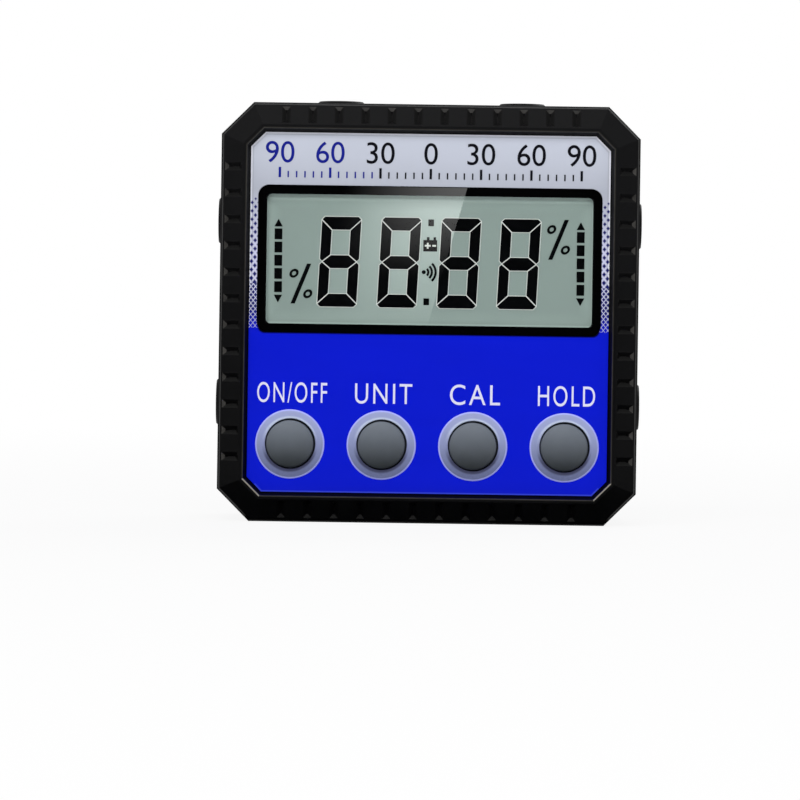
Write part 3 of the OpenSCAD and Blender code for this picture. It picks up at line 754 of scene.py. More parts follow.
def face_print(settings):
    """Printed sheet: silver above, blue below, and dots that grow between them, with a painted highlight
    on its cut edge, painted shade just inside it and a painted shadow under the window.
    """
    graph = start_material("face_print")
    x, _, z = graph.place()
    across = x * PER_MM
    up = (z - FACE_MIDDLE.z) * PER_MM
    # The lattice is finer below fine_top, where the lozenges close up
    fine_top = 3.7
    fineness = 1 + 0.5 * (up < fine_top)
    column = (across / (settings.dot_across * PER_MM) + 0.5) * fineness
    level = up / (settings.dot_along * PER_MM) * fineness
    first = (level + column) / 2
    second = (level - column) / 2
    first_off = first - round(first)
    second_off = second - round(second)
    # Lozenges grow from nothing at dot_top to nearly a closed field at dot_foot
    dot_top, dot_foot = 15.2, -2.1
    fade = (up - dot_foot) / (dot_top - dot_foot)
    size = graph.ramp(fade, (0, 0.45), (0.12, 0.41), (0.33, 0.36), (0.4, 0.3), (0.97, 0.24), (1, 0))
    dots = (size - abs(first_off).most(abs(second_off))).rise(-0.1, 0.1)
    ink = (dots * (up < dot_top)).most(up < dot_foot)
    pearl = graph.noise(6 * MM, stretch=(2.5, 1, 0.6))
    sheen = graph.noise(0.12 * MM)
    low_end, high_end = -2, 24
    field = graph.ramp(
        (up - low_end) / (high_end - low_end),
        (0, shaded(settings.lavender, 0.96)),
        (0.4, settings.lavender),
        (0.7, shaded(settings.silver, 0.82)),
        (0.86, settings.silver),
        (1, shaded(settings.silver, 1.08)),
    )
    silver = graph.mix(0.1 * pearl + 0.05 * sheen, field, shaded(settings.silver, 0.8))
    blue = graph.mottled(pearl, settings.blue, 0.94, 1.06)
    blue = graph.mix(up.rise(-3, 1), blue, settings.dot_ink)
    straight, slanted = past_face(across, up)
    past = straight.most(slanted)
    edge_start, edge_shade_start = (-0.24, -0.16), (-0.44, -0.34)
    cut_edge_highlight = past.rise(*edge_start)
    # Painted shade in a band just inside the cut edge, under the frame's lip
    edge_shade = past.rise(*edge_shade_start) - cut_edge_highlight
    silver = graph.mix(0.3 * edge_shade, silver, shaded(settings.silver, 0.5))
    # Painted highlight along the sheet's cut edge, on the silver and at the foot of the blue
    silver = graph.mix(0.9 * cut_edge_highlight, silver, settings.rim)
    blue = graph.mix(0.6 * cut_edge_highlight * (up + abs(across) < 0), blue, settings.low_rim_highlight)
    base = graph.mix(ink, silver, blue)
    # Painted shadow along the foot of the window
    base = graph.mix(window_shade(x, z), base, settings.shade)
    normal = graph.bump(sheen, 0.0015 * MM, 0.05 * MM)
    roughness = 0.22 + 0.08 * sheen - 0.05 * ink
    return graph.skin(base=base, roughness=roughness, shine=0.1, normal=normal)


def print_ink(name, tint, roughness=0.4):
    """Printed ink with a fine uneven lay."""
    graph = start_material(name)
    lay = graph.noise(0.2 * MM)
    base = graph.mottled(lay, tint, 0.9, 1.05)
    normal = graph.bump(lay, 0.002 * MM)
    return graph.skin(base=base, roughness=roughness + 0.1 * lay, shine=0.15, normal=normal)


def ring_lacquer(settings):
    """Pale pearl lacquer of the key rings, with a bluish outer rim and a fine turned texture, painted
    shade towards the foot, a painted highlight on the upper inner edge and the key's painted shadow on
    the lower inner edge.
    """
    graph = start_material("ring_lacquer")
    x, _, z = graph.place()
    across = (x - (math.floor(x / KEY_PITCH) + 0.5) * KEY_PITCH) * PER_MM
    up = (z - KEY_Z) * PER_MM
    radius = reach(across, up)
    outer, hole = settings.ring_d / 2 * PER_MM, settings.ring_hole / 2 * PER_MM
    rim_w, lip_w = (0.26, 0.14), (0.2, 0.5)
    rim = radius.rise(outer - rim_w[0], outer - rim_w[1])
    lip_painted_light = 1 - radius.rise(hole + lip_w[0], hole + lip_w[1])
    pearl = graph.noise(0.25 * MM)
    turns_per_mm = 40
    turns = radius * turns_per_mm
    turned = turns.maths("SINE", turns)
    # Painted shade: each ring lighter at its top and darker at its foot
    body = graph.mix(up.rise(-4.2, 3.6), settings.ring_shaded, settings.ring)
    body = graph.mix(0.3 * pearl, body, shaded(settings.ring, 0.8))
    base = graph.mix(0.9 * rim, body, settings.ring_rim)
    # Painted highlight on the upper inner edge, and the key's painted shadow on the lower inner edge
    base = graph.mix(lip_painted_light * up.rise(0, 3), base, settings.ring_lip_highlight)
    base = graph.mix(lip_painted_light * up.rise(0, -2.4), base, settings.ring_shade)
    normal = graph.bump(turned + pearl, 0.0012 * MM, 0.04 * MM)
    return graph.skin(base=base, roughness=0.34 + 0.1 * pearl, shine=0.3, normal=normal)


def display_glass(settings):
    """Blank display: grey-green with a faint weave, with a painted sheen beside its light edge and
    painted light at its rim.
    """
    graph = start_material("display_glass")
    weave = graph.noise(0.09 * MM, detail=1)
    cloud = graph.noise(9 * MM)
    base = graph.mottled(0.6 * cloud + 0.4 * weave, settings.glass, 0.96, 1.05)
    x, _, z = graph.place()
    up = (z - WINDOW_LOW.z) * PER_MM
    from_edge = (x - SHEEN_FOOT) * PER_MM - SHEEN_SLOPE * up
    # Painted sheen that fades away from the slanted light edge and downwards
    glow_across, glow_up = (-19, -2), (-9, 20)
    lit = from_edge.rise(*glow_across) * (from_edge < 0) * up.rise(*glow_up)
    base = graph.mix(lit, base, settings.sheen)
    # Painted light in bands inside the clear opening, lifting the shade under the border and drawing a
    # highlight at its edge: place, start and end in millimetres, share and lightness
    past = past_view(x, z)
    below_top = (z - WINDOW_MIDDLE.z) * PER_MM - VIEW_H / 2
    bands = (
        (past, -2.4, -0.3, 0.5, 1.3),
        (below_top, -0.95, -0.35, 0.9, 1.65),
        (past, -0.3, -0.12, 0.8, 1.8),
    )
    for place, start, end, share, lightness in bands:
        base = graph.mix(share * place.rise(start, end), base, shaded(settings.glass, lightness))
    normal = graph.bump(weave, 0.0008 * MM)
    return graph.skin(base=base, roughness=0.4 + 0.1 * weave, shine=0.1, normal=normal)


def clear_window():
    """Clear lens with a black border: what lies behind shows through, and its front mirrors the room."""
    graph = start_material("clear_window")
    x, _, z = graph.place()
    outside = past_view(x, z).rise(-0.03, 0.03)
    smear = graph.noise(7 * MM, stretch=(1, 1, 2))
    normal = graph.bump(smear, 0.0003 * MM)
    gloss = {"Color": (1, 1, 1, 1), "Roughness": 0.004 * smear, "Normal": normal}
    mirror = graph.add("ShaderNodeBsdfGlossy", None, gloss)
    clear = graph.add("ShaderNodeBsdfTransparent", None, {"Color": (0.985, 0.99, 0.985, 1)})
    ink = graph.mix(smear, srgb(2, 2, 2), srgb(5, 5, 6))
    border = graph.principled(base=ink, roughness=0.5, shine=0.0)
    behind = graph.add("ShaderNodeNewGeometry", None, None, "Backfacing")
    printed = graph.either(outside * (1 - behind), clear, border)
    share = graph.add("ShaderNodeFresnel", None, {"IOR": 1.42}) * (1 - behind)
    return graph.cover(graph.either(share, printed, mirror))


def key_plastic(settings):
    """Grey keys with a satin moulded skin, darker towards the foot by painted shade."""
    graph = start_material("key_plastic")
    grain = graph.noise(settings.grain, detail=3)
    cloud = graph.noise(1.6 * MM)
    _, _, z = graph.place()
    # Painted shade: darker towards the foot of the key, with tone that differs at random
    dark_level, light_level, uneven = -4.2, 3.4, 0.1
    lightness = ((z - KEY_Z) * PER_MM).rise(dark_level, light_level) + uneven * (cloud - 0.5)
    base = graph.mix(lightness, settings.plastic_shaded, settings.plastic)
    normal = graph.bump(grain, 0.004 * MM, 0.05 * MM)
    roughness = settings.roughness + 0.08 * grain
    return graph.skin(base=base, roughness=roughness, shine=0.35, normal=normal)


def hard_plastic(name, tint, roughness=0.5, shine=0.25, edge=0.08 * MM):
    """Plain moulded plastic of the inner parts."""
    graph = start_material(name)
    grain = graph.noise(0.2 * MM, detail=3)
    cloud = graph.noise(2 * MM)
    base = graph.mottled(cloud, tint, 0.85, 1.12)
    normal = graph.bump(grain, 0.005 * MM, edge)
    return graph.skin(base=base, roughness=roughness + 0.1 * grain, shine=shine, normal=normal)


def contact_rubber():
    """Striped rubber of the display's contact strip."""
    graph = start_material("contact_rubber")
    x, _, _ = graph.place()
    stripe_pitch = 0.36 * MM
    phase = x / stripe_pitch - math.floor(x / stripe_pitch)
    stripe = abs(phase - 0.5).rise(0.2, 0.3)
    base = graph.mix(stripe, srgb(196, 148, 150), srgb(30, 30, 32))
    normal = graph.bump(stripe, 0.01 * MM)
    return graph.skin(base=base, roughness=0.7 + 0.1 * stripe, shine=0.2, normal=normal)


def circuit_board():
    """Green lacquer over copper tracks, with tinned spots."""
    graph = start_material("circuit_board")
    x, _, z = graph.place()
    track_pitch = 0.9 * MM
    spot_pitch = 4 * track_pitch

    def track(place):
        """1 along the middle of each step."""
        return 1 - abs(place - math.floor(place) - 0.5).rise(0.1, 0.16)

    def off_spot(place):
        """How far a place lies from the nearest spot."""
        return place - round(place)

    patch = graph.noise(7 * MM, detail=1).rise(0.48, 0.52)
    tracks = track(z / track_pitch) * patch + track(x / track_pitch) * (1 - patch)
    tinned = 1 - reach(off_spot(x / spot_pitch), off_spot(z / spot_pitch)).rise(0.1, 0.13)
    weave = graph.noise(0.3 * MM)
    lacquer = graph.mix(tracks, srgb(20, 74, 46), srgb(36, 108, 64))
    base = graph.mix(tinned, lacquer, srgb(196, 196, 190))
    normal = graph.bump(tracks + 0.3 * weave, 0.02 * MM)
    return graph.skin(base=base, roughness=0.32 + 0.1 * weave, metallic=tinned, shine=0.4, normal=normal)


def chip_body():
    """Black chip: a moulded block with a pressed dot, and tinned legs around it."""
    graph = start_material("chip_body")
    x, _, z = graph.place()
    off_x = (x - CHIP_MIDDLE.x) * PER_MM
    off_z = (z - CHIP_MIDDLE.z) * PER_MM
    leg_start, dot_place, dot_r, soft = 5.02, 3.8, 0.45, 0.05
    legs = abs(off_x).most(abs(off_z)) > leg_start
    dot = 1 - reach(off_x + dot_place, off_z - dot_place).rise(dot_r - soft, dot_r + soft)
    grain = graph.noise(0.1 * MM, detail=3)
    body = graph.mix(grain, srgb(20, 20, 22), srgb(38, 38, 40))
    base = graph.mix(legs, body, srgb(206, 206, 202))
    normal = graph.bump(grain - dot, 0.02 * MM, 0.05 * MM)
    roughness = 0.62 - 0.3 * legs + 0.1 * grain
    return graph.skin(base=base, roughness=roughness, metallic=legs, shine=0.3, normal=normal)


def small_ceramic():
    """Brown ceramic of the small parts on the board."""
    graph = start_material("small_ceramic")
    grain = graph.noise(0.15 * MM)
    base = graph.mix(grain, srgb(120, 96, 70), srgb(160, 132, 98))
    normal = graph.bump(grain, 0.01 * MM, 0.06 * MM)
    return graph.skin(base=base, roughness=0.45 + 0.1 * grain, shine=0.4, normal=normal)


def cell_sleeve(name, low, high, button_right):
    """Printed sleeve of a cell: slate body, pale collar at the button end and bare steel ends."""
    graph = start_material(name)
    x, _, _ = graph.place()
    way = (x - low.x) * PER_MM if button_right else (high.x - x) * PER_MM
    cell_length = (high.x - low.x) * PER_MM
    collar_start, line_place = 0.74 * cell_length, 0.71 * cell_length
    button_h, foot_h = 1.15, 0.35
    collar = way.rise(collar_start, collar_start + 0.1)
    line = 1 - abs(way - line_place).rise(0.25, 0.35)
    steel = (way > cell_length - button_h).most(way < foot_h)
    brushed = graph.noise(0.3 * MM, stretch=(12, 1, 1))
    body = graph.mix(collar, srgb(74, 88, 102), srgb(176, 180, 184))
    body = graph.mix(line, body, srgb(226, 228, 230))
    base = graph.mix(steel, body, srgb(200, 202, 204))
    normal = graph.bump(brushed, 0.004 * MM)
    roughness = 0.28 + 0.12 * brushed
    metallic = steel.most(0.35 * collar)
    return graph.skin(base=base, roughness=roughness, metallic=metallic, shine=0.45, normal=normal)


def bare_metal(name, tint, roughness, stretch=(1, 1, 1), edge=0.06 * MM):
    """Bare or plated metal with fine streaks."""
    graph = start_material(name)
    streak = graph.noise(0.12 * MM, detail=3, stretch=stretch)
    cloud = graph.noise(1.5 * MM)
    base = graph.mottled(0.5 * streak + 0.5 * cloud, tint, 0.82, 1.08)
    normal = graph.bump(streak, 0.003 * MM, edge)
    return graph.skin(base=base, roughness=roughness + 0.12 * streak, metallic=1, normal=normal)


class GaugeOperator:
    """What all of the gauge's operators share."""

    bl_options = {"REGISTER", "UNDO"}


class GAUGE_OT_case_finish(GaugeOperator, bpy.types.Operator):
    """Give the case, rear cover and battery door their moulded black plastic"""

    bl_idname = "gauge.case_finish"
    bl_label = "Case Finish"

    def execute(self, context):
        settings = context.scene.gauge_case
        plastic = moulded_plastic("moulded_black", settings)
        dress(moulded_plastic("moulded_frame", settings, framed=True), "front_case")
        dress(plastic, "rear_cover", "battery_door")
        self.door_arrow(settings)
        return {"FINISHED"}

    def door_arrow(self, settings):
        """A raised arrow with slanted sides that shows which way the door slides."""
        tip, neck, tail = settings.arrow / 2, 0, -settings.arrow / 2
        head, shaft = 0.42 * settings.arrow, 0.17 * settings.arrow
        x = (DOOR_LOW.x + DOOR_HIGH.x) / 2
        z = (DOOR_LOW.z + DOOR_HIGH.z) / 2
        half = [(tail, shaft), (neck, shaft), (neck, head), (tip, 0)]
        outline = half + [(across, -up) for across, up in half[-2::-1]]
        points = [(x + across, z + up) for across, up in outline]
        mark = sheet("door_arrow", [points], DOOR_HIGH.y, DOOR_HIGH.y + settings.arrow_rise)
        build = bmesh.new()
        build.from_mesh(mark)
        crest = DOOR_HIGH.y + settings.arrow_rise - WELD
        edges = [edge for edge in build.edges if all(corner.co.y > crest for corner in edge.verts)]
        bmesh.ops.bevel(build, geom=edges, offset=0.6 * settings.arrow_rise, segments=3, affect="EDGES")
        build.to_mesh(mark)
        build.free()
        set_out("door_arrow", mark, "door", print_ink("arrow_ink", settings.arrow_ink))


class GAUGE_OT_face_print(GaugeOperator, bpy.types.Operator):
    """Print the face sheet"""

    bl_idname = "gauge.face_print"
    bl_label = "Face Print"

    def execute(self, context):
        dress(face_print(context.scene.gauge_face), "face_overlay")
        return {"FINISHED"}


class GAUGE_OT_key_rings(GaugeOperator, bpy.types.Operator):
    """Lay a raised ring around each key"""

    bl_idname = "gauge.key_rings"
    bl_label = "Key Rings"

    def execute(self, context):
        settings = context.scene.gauge_face
        inner, outer = settings.ring_hole / 2, settings.ring_d / 2
        rise = settings.ring_rise
        profile = [
            (inner, FACE_Y),
            (inner + 0.6 * rise, FACE_Y - 0.8 * rise),
            (inner + 1.4 * rise, FACE_Y - rise),
            (outer - 2 * rise, FACE_Y - rise),
            (outer - 0.8 * rise, FACE_Y - 0.75 * rise),
            (outer, FACE_Y),
        ]
        middle = KEY_MIDDLES["power"]
        pattern = revolved("key_ring", profile, middle, closed=True)
        for corner in pattern.vertices:
            if math.hypot(corner.co.x - middle.x, corner.co.z - middle.z) < (inner + outer) / 2:
                corner.co += Vector((settings.hole_off, 0, settings.hole_off))
        finish = ring_lacquer(settings)
        rings = repeated("key_rings", pattern, finish, len(KEY_NAMES), (KEY_PITCH, 0, 0))
        set_out("key_rings", rings, "case")
        return {"FINISHED"}


class GAUGE_OT_key_labels(GaugeOperator, bpy.types.Operator):
    """Print a plain label above each key"""

    bl_idname = "gauge.key_labels"
    bl_label = "Key Labels"

    # Words and widths of the labels, in metres
    labels = (
        ("ON/OFF", 9.17 * MM),
        ("UNIT", 7.5 * MM),
        ("CAL", 6.6 * MM),
        ("HOLD", 7.5 * MM),
    )

    def execute(self, context):
        settings = context.scene.gauge_face
        foot = KEY_Z + settings.label_up
        words = []
        for name, (word, width) in zip(KEY_NAMES, self.labels):
            middle = KEY_MIDDLES[name].x + settings.label_right
            words.append(lettering(word, middle, foot, settings.label_h, width, settings.label_gap))
        ink = print_ink("label_ink", settings.label)
        set_out("key_labels", joined("key_labels", words), "case", ink)
        return {"FINISHED"}


class GAUGE_OT_angle_scale(GaugeOperator, bpy.types.Operator):
    """Print a plain angle scale above the window"""

    bl_idname = "gauge.angle_scale"
    bl_label = "Angle Scale"

    numerals = ("90", "60", "30", "0", "30", "60", "90")
    blue_count = 2

    def execute(self, context):
        settings = context.scene.gauge_face
        black = print_ink("scale_black", settings.scale_black)
        blue = print_ink("scale_blue", settings.scale_blue)
        step = settings.scale_step
        left = -step * (len(self.numerals) - 1) / 2
        foot = WINDOW_HIGH.z + settings.scale_up - settings.tick_h / 2
        self.ticks("scale_ticks_left", blue, left, foot, self.blue_count, self.blue_count, settings)
        start = left + self.blue_count * step
        black_count = len(self.numerals) - self.blue_count
        self.ticks("scale_ticks_right", black, start, foot, black_count, black_count - 1, settings)
        figure_lift = 1.45
        base = foot + figure_lift * settings.tick_h
        figures = [
            lettering(words, left + place * step, base, settings.numeral_h)
            for place, words in enumerate(self.numerals)
        ]
        left_figures = joined("scale_figures_left", figures[: self.blue_count])
        right_figures = joined("scale_figures_right", figures[self.blue_count :])
        set_out("scale_figures_left", left_figures, "case", blue)
        set_out("scale_figures_right", right_figures, "case", black)
        return {"FINISHED"}

    def ticks(self, name, ink, left, foot, count, fine_rows, settings):
        """A run of numbered ticks, with rows of fine ticks after them."""
        step = settings.scale_step
        fine_step = step / (settings.scale_fine + 1)
        fine_w, fine_h = 0.6 * settings.tick_w, 0.62 * settings.tick_h
        tall = rectangle(left, foot + settings.tick_h / 2, settings.tick_w, settings.tick_h)
        short = rectangle(left + fine_step, foot + fine_h / 2, fine_w, fine_h)
        back = FACE_Y - PRINT_T
        main = repeated(name, sheet(name, [tall], FACE_Y, back), ink, count, (step, 0, 0))
        fine = repeated(
            name + "_fine",
            sheet(name + "_fine", [short], FACE_Y, back),
            ink,
            settings.scale_fine,
            (fine_step, 0, 0),
            fine_rows,
            (step, 0, 0),
        )
        set_out(name, joined(name, [main, fine]), "case", ink)


class GAUGE_OT_display(GaugeOperator, bpy.types.Operator):
    """Finish the display glass and set its digits, level bars and signs"""

    bl_idname = "gauge.display"
    bl_label = "Display"

    digit_count = 4
    block_count = 5

    def execute(self, context):
        settings = context.scene.gauge_display
        self.ink = print_ink("segment_ink", settings.ink, 0.3)
        self.ground = print_ink("segment_ground", settings.ground)
        self.settings = settings
        dress(display_glass(settings), "lcd_panel")
        self.digits()
        self.level_bars()
        self.percent_signs()
        self.small_signs()
        return {"FINISHED"}

    def plate(self, name, polygons, layer=1):
        """Plates on the glass, in the first or second layer, from points about the middle of the case."""
        back = GLASS_Y - (layer - 1) * PRINT_T
        level = FACE_MIDDLE.z
        lifted = [[(x, z + level) for x, z in points] for points in polygons]
        return sheet(name, lifted, back - PRINT_T, back)

    def show(self, name, mesh, ink):
        """Sets a finished mesh on the display."""
        set_out(name, mesh, "case", ink)

    def cells(self, grow):
        """Seven cells of a digit that fill its whole outline, grown by a margin."""
        s = self.settings
        x, z = s.digit_w / 2 + grow, s.digit_h / 2 + grow
        in_x, in_z = s.digit_w / 2 - s.bar_side - grow, s.digit_h / 2 - s.bar_level - grow
        waist = s.bar_level / 2 + grow
        cut, notch = 0.42 * MM, 0.36 * MM
        top = [(in_x, in_z), (x, z - cut), (x - cut, z), (cut - x, z), (-x, z - cut), (-in_x, in_z)]
        side = [(in_x, in_z), (in_x, waist), (x - notch, 0), (x, notch), (x, z - cut)]
        right = [(in_x, -waist), (x - notch, 0), (in_x, waist)]
        middle = right + [(-a, -b) for a, b in right]
        cells = [top, [(a, -b) for a, b in reversed(top)], middle]
        for mirror_x in (1, -1):
            for mirror_z in (1, -1):
                points = [(mirror_x * a, mirror_z * b) for a, b in side]
                cells.append(points if mirror_x * mirror_z > 0 else points[::-1])
        return cells

    def digits(self):
        """Four digits with all segments on, over their pale ground."""
        s = self.settings
        lean = math.tan(s.slant)

        def settled(polygons):
            return [[(s.digit_x + x + lean * z, s.digit_z + z) for x, z in points] for points in polygons]

        step = (s.digit_step, 0, 0)
        ground = self.plate("digit_ground", settled(self.cells(s.halo)))
        ground = repeated("digit_ground", ground, self.ground, self.digit_count, step)
        self.show("display_digit_ground", ground, self.ground)
        segments = [inset(points, s.gap / 2) for points in self.cells(s.gap / 2)]
        digits = self.plate("digits", settled(segments), 2)
        digits = repeated("digits", digits, self.ink, self.digit_count, step)
        self.show("display_digits", digits, self.ink)

    def level_bars(self):
        """A column of blocks with arrow heads at both sides of the digits."""
        s = self.settings
        left, foot, lean = -19.89 * MM, 3.32 * MM, math.tan(math.radians(-0.3))
        pair = (39.78 * MM, 0, 0.08 * MM)
        block = self.plate("block", [rectangle(left, foot, s.block_w, s.block_h)])
        rise = (lean * s.block_step, 0, s.block_step)
        blocks = repeated("blocks", block, self.ink, self.block_count, rise, 2, pair)
        tip_h, tip_gap = 1.02 * MM, 0.27 * MM
        top = foot + (self.block_count - 1) * s.block_step + s.block_h / 2 + tip_gap
        base = foot - s.block_h / 2 - 1.3 * tip_gap
        shift = lean * (top - foot)
        half = 0.54 * s.block_w
        up = [(left + shift - half, top), (left + shift + half, top), (left + shift, top + tip_h)]
        down = [(left - half, base), (left, base - tip_h), (left + half, base)]
        tips = repeated("tips", self.plate("tips", [up, down]), self.ink, 2, pair)
        self.show("display_bars", joined("display_bars", [blocks, tips]), self.ink)

    def percent_signs(self):
        """A percent sign before and after the digits."""
        x, z = -16.89 * MM, 3.77 * MM
        tall, run, stroke, lean = 5.26 * MM, 2.1 * MM, 0.56 * MM, 0.22
        ring_x, ring_z, pair = 0.92 * MM, 1.34 * MM, (33.82 * MM, 0, 6.23 * MM)
        slash = [
            (x - run / 2 - stroke / 2, z - tall / 2),
            (x - run / 2 + stroke / 2, z - tall / 2),
            (x + run / 2 + stroke / 2, z + tall / 2),
            (x + run / 2 - stroke / 2, z + tall / 2),
        ]
        polygons = [slash]
        inner, outer, steps = 0.27 * MM, 0.6 * MM, 20
        for side in (-1, 1):
            spot_x, spot_z = x + side * ring_x, z - side * ring_z
            polygons += arc_band(spot_x, spot_z, inner, outer, 0, math.tau, steps, lean)
        signs = repeated("signs", self.plate("signs", polygons), self.ink, 2, pair)
        self.show("display_percent", signs, self.ink)

    def small_signs(self):
        """Two square dots, a cell sign and a sound sign between the digits."""
        x = 0.06 * MM
        dot_w, dot_h = 0.74 * MM, 0.88 * MM
        dot_places = ((0.08 * MM, 12 * MM), (-0.42 * MM, 1.6 * MM))
        dots = [rectangle(x + across, level, dot_w, dot_h) for across, level in dot_places]
        cell_z, cell_w, cell_h = 8.98 * MM, 1.82 * MM, 1.5 * MM
        body = rectangle(x, cell_z, cell_w, cell_h)
        stud_w, stud_h = 0.34 * MM, 0.38 * MM
        stud_z = cell_z + (cell_h + stud_h) / 2
        studs = [rectangle(x + across, stud_z, stud_w, stud_h) for across in (-0.28 * MM, 0.59 * MM)]
        sound_x, sound_z, steps = x - 0.8 * MM, 5.5 * MM, 10
        pin_r, spot_r, half_band, fan = 0.0001 * MM, 0.27 * MM, 0.15 * MM, math.radians(47)
        polygons = dots + [body] + studs
        polygons += arc_band(sound_x, sound_z, pin_r, spot_r, 0, math.tau, 2 * steps)
        for radius in (0.6 * MM, 1.06 * MM, 1.56 * MM):
            inner, outer = radius - half_band, radius + half_band
            polygons += arc_band(sound_x, sound_z, inner, outer, -fan, fan, steps)
        self.show("display_signs", self.plate("signs", polygons), self.ink)
        arm, stroke = 0.77 * MM, 0.24 * MM
        plus_x, minus_x, minus_w = x - 0.33 * MM, x + 0.52 * MM, 0.5 * MM
        half_arm, arm_off = (arm - stroke) / 2, (arm + stroke) / 4
        marks = [
            rectangle(plus_x, cell_z, stroke, arm),
            rectangle(plus_x - arm_off, cell_z, half_arm, stroke),
            rectangle(plus_x + arm_off, cell_z, half_arm, stroke),
            rectangle(minus_x, cell_z, minus_w, stroke),
        ]
        self.show("display_cell_marks", self.plate("marks", marks, 2), self.ground)


class GAUGE_OT_window(GaugeOperator, bpy.types.Operator):
    """Make the display window a clear lens"""

    bl_idname = "gauge.window"
    bl_label = "Window"

    def execute(self, context):
        dress(clear_window(), "display_window")
        return {"FINISHED"}


class GAUGE_OT_keys(GaugeOperator, bpy.types.Operator):
    """Turn four smooth domed keys"""

    bl_idname = "gauge.keys"
    bl_label = "Keys"

    def execute(self, context):
        settings = context.scene.gauge_keys
        plastic = key_plastic(settings)
        for name in KEY_NAMES:
            mesh = revolved(name + "_cap", self.profile(name, settings), KEY_MIDDLES[name])
            cap = set_out(name + "_cap", mesh, name + "_button", plastic)
            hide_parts(name + "_key")
        plungers = hard_plastic("plunger_plastic", srgb(206, 202, 190), roughness=0.4)
        dress(plungers, *(name + "_plunger" for name in KEY_NAMES))
        return {"FINISHED"}

    def profile(self, name, settings):
        """Half section of a key from the middle of its top round to the middle of its stem."""
        low, high = KEY_BOXES[name]
        radius, flange_r = settings.key_d / 2, (high.x - low.x) / 2
        shoulder, dome = settings.shoulder, settings.dome
        reach = radius - shoulder
        ball = (reach * reach + dome * dome) / (2 * dome)
        rise_steps, turn_steps = 12, 6
        lean = math.asin(reach / ball)
        points = []
        for step in range(rise_steps + 1):
            angle = lean * step / rise_steps
            points.append((ball * math.sin(angle), low.y + ball * (1 - math.cos(angle))))
        centre = (
            reach - shoulder * math.sin(lean),
            low.y + dome + shoulder * math.cos(lean),
        )
        side = centre[0] + shoulder
        for step in range(1, turn_steps + 1):
            angle = lean + (math.pi / 2 - lean) * step / turn_steps
            across, back = shoulder * math.sin(angle), shoulder * math.cos(angle)
            points.append((centre[0] + across, centre[1] - back))
        stem_y = high.y - settings.stem_h
        flange_y = stem_y - settings.flange_t
        points += [
            (side, flange_y),
            (flange_r, flange_y),
            (flange_r, stem_y),
            (settings.stem_d / 2, stem_y),
            (settings.stem_d / 2, high.y),
            (0, high.y),
        ]
        return points


class GAUGE_OT_inner_parts(GaugeOperator, bpy.types.Operator):
    """Finish the parts on and around the circuit board"""

    bl_idname = "gauge.inner_parts"
    bl_label = "Inner Parts"

    def execute(self, context):
        dark = hard_plastic("dark_plastic", srgb(40, 41, 44))
        dress(dark, "lcd_holder", "buzzer", "switch_bodies")
        dress(contact_rubber(), "contact_strip")
        dress(circuit_board(), "main_board")
        dress(chip_body(), "controller_chip")
        dress(hard_plastic("sensor_plastic", srgb(30, 30, 33), roughness=0.6), "tilt_sensor")
        dress(small_ceramic(), "chip_components")
        return {"FINISHED"}


class GAUGE_OT_cells(GaugeOperator, bpy.types.Operator):
    """Finish the two cells and their contacts"""

    bl_idname = "gauge.cells"
    bl_label = "Cells"

    def execute(self, context):
        for name, button_right in (("battery_cell_upper", True), ("battery_cell_lower", False)):
            dress(cell_sleeve(name + "_sleeve", *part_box(name), button_right), name)
        plated = bare_metal("plated_steel", srgb(196, 198, 200), 0.3, stretch=(1, 8, 8))
        dress(plated, "negative_contact", "positive_contact", "bridge_contact")
        return {"FINISHED"}


class GAUGE_OT_metal_parts(GaugeOperator, bpy.types.Operator):
    """Finish the screws and the base magnets"""

    bl_idname = "gauge.metal_parts"
    bl_label = "Metal Parts"

    def execute(self, context):
        dress(bare_metal("dark_steel", srgb(96, 96, 98), 0.34), "case_screws", "board_screws")
        dress(bare_metal("nickel_plate", srgb(206, 204, 198), 0.2, stretch=(6, 6, 1)), "base_magnets")
        return {"FINISHED"}


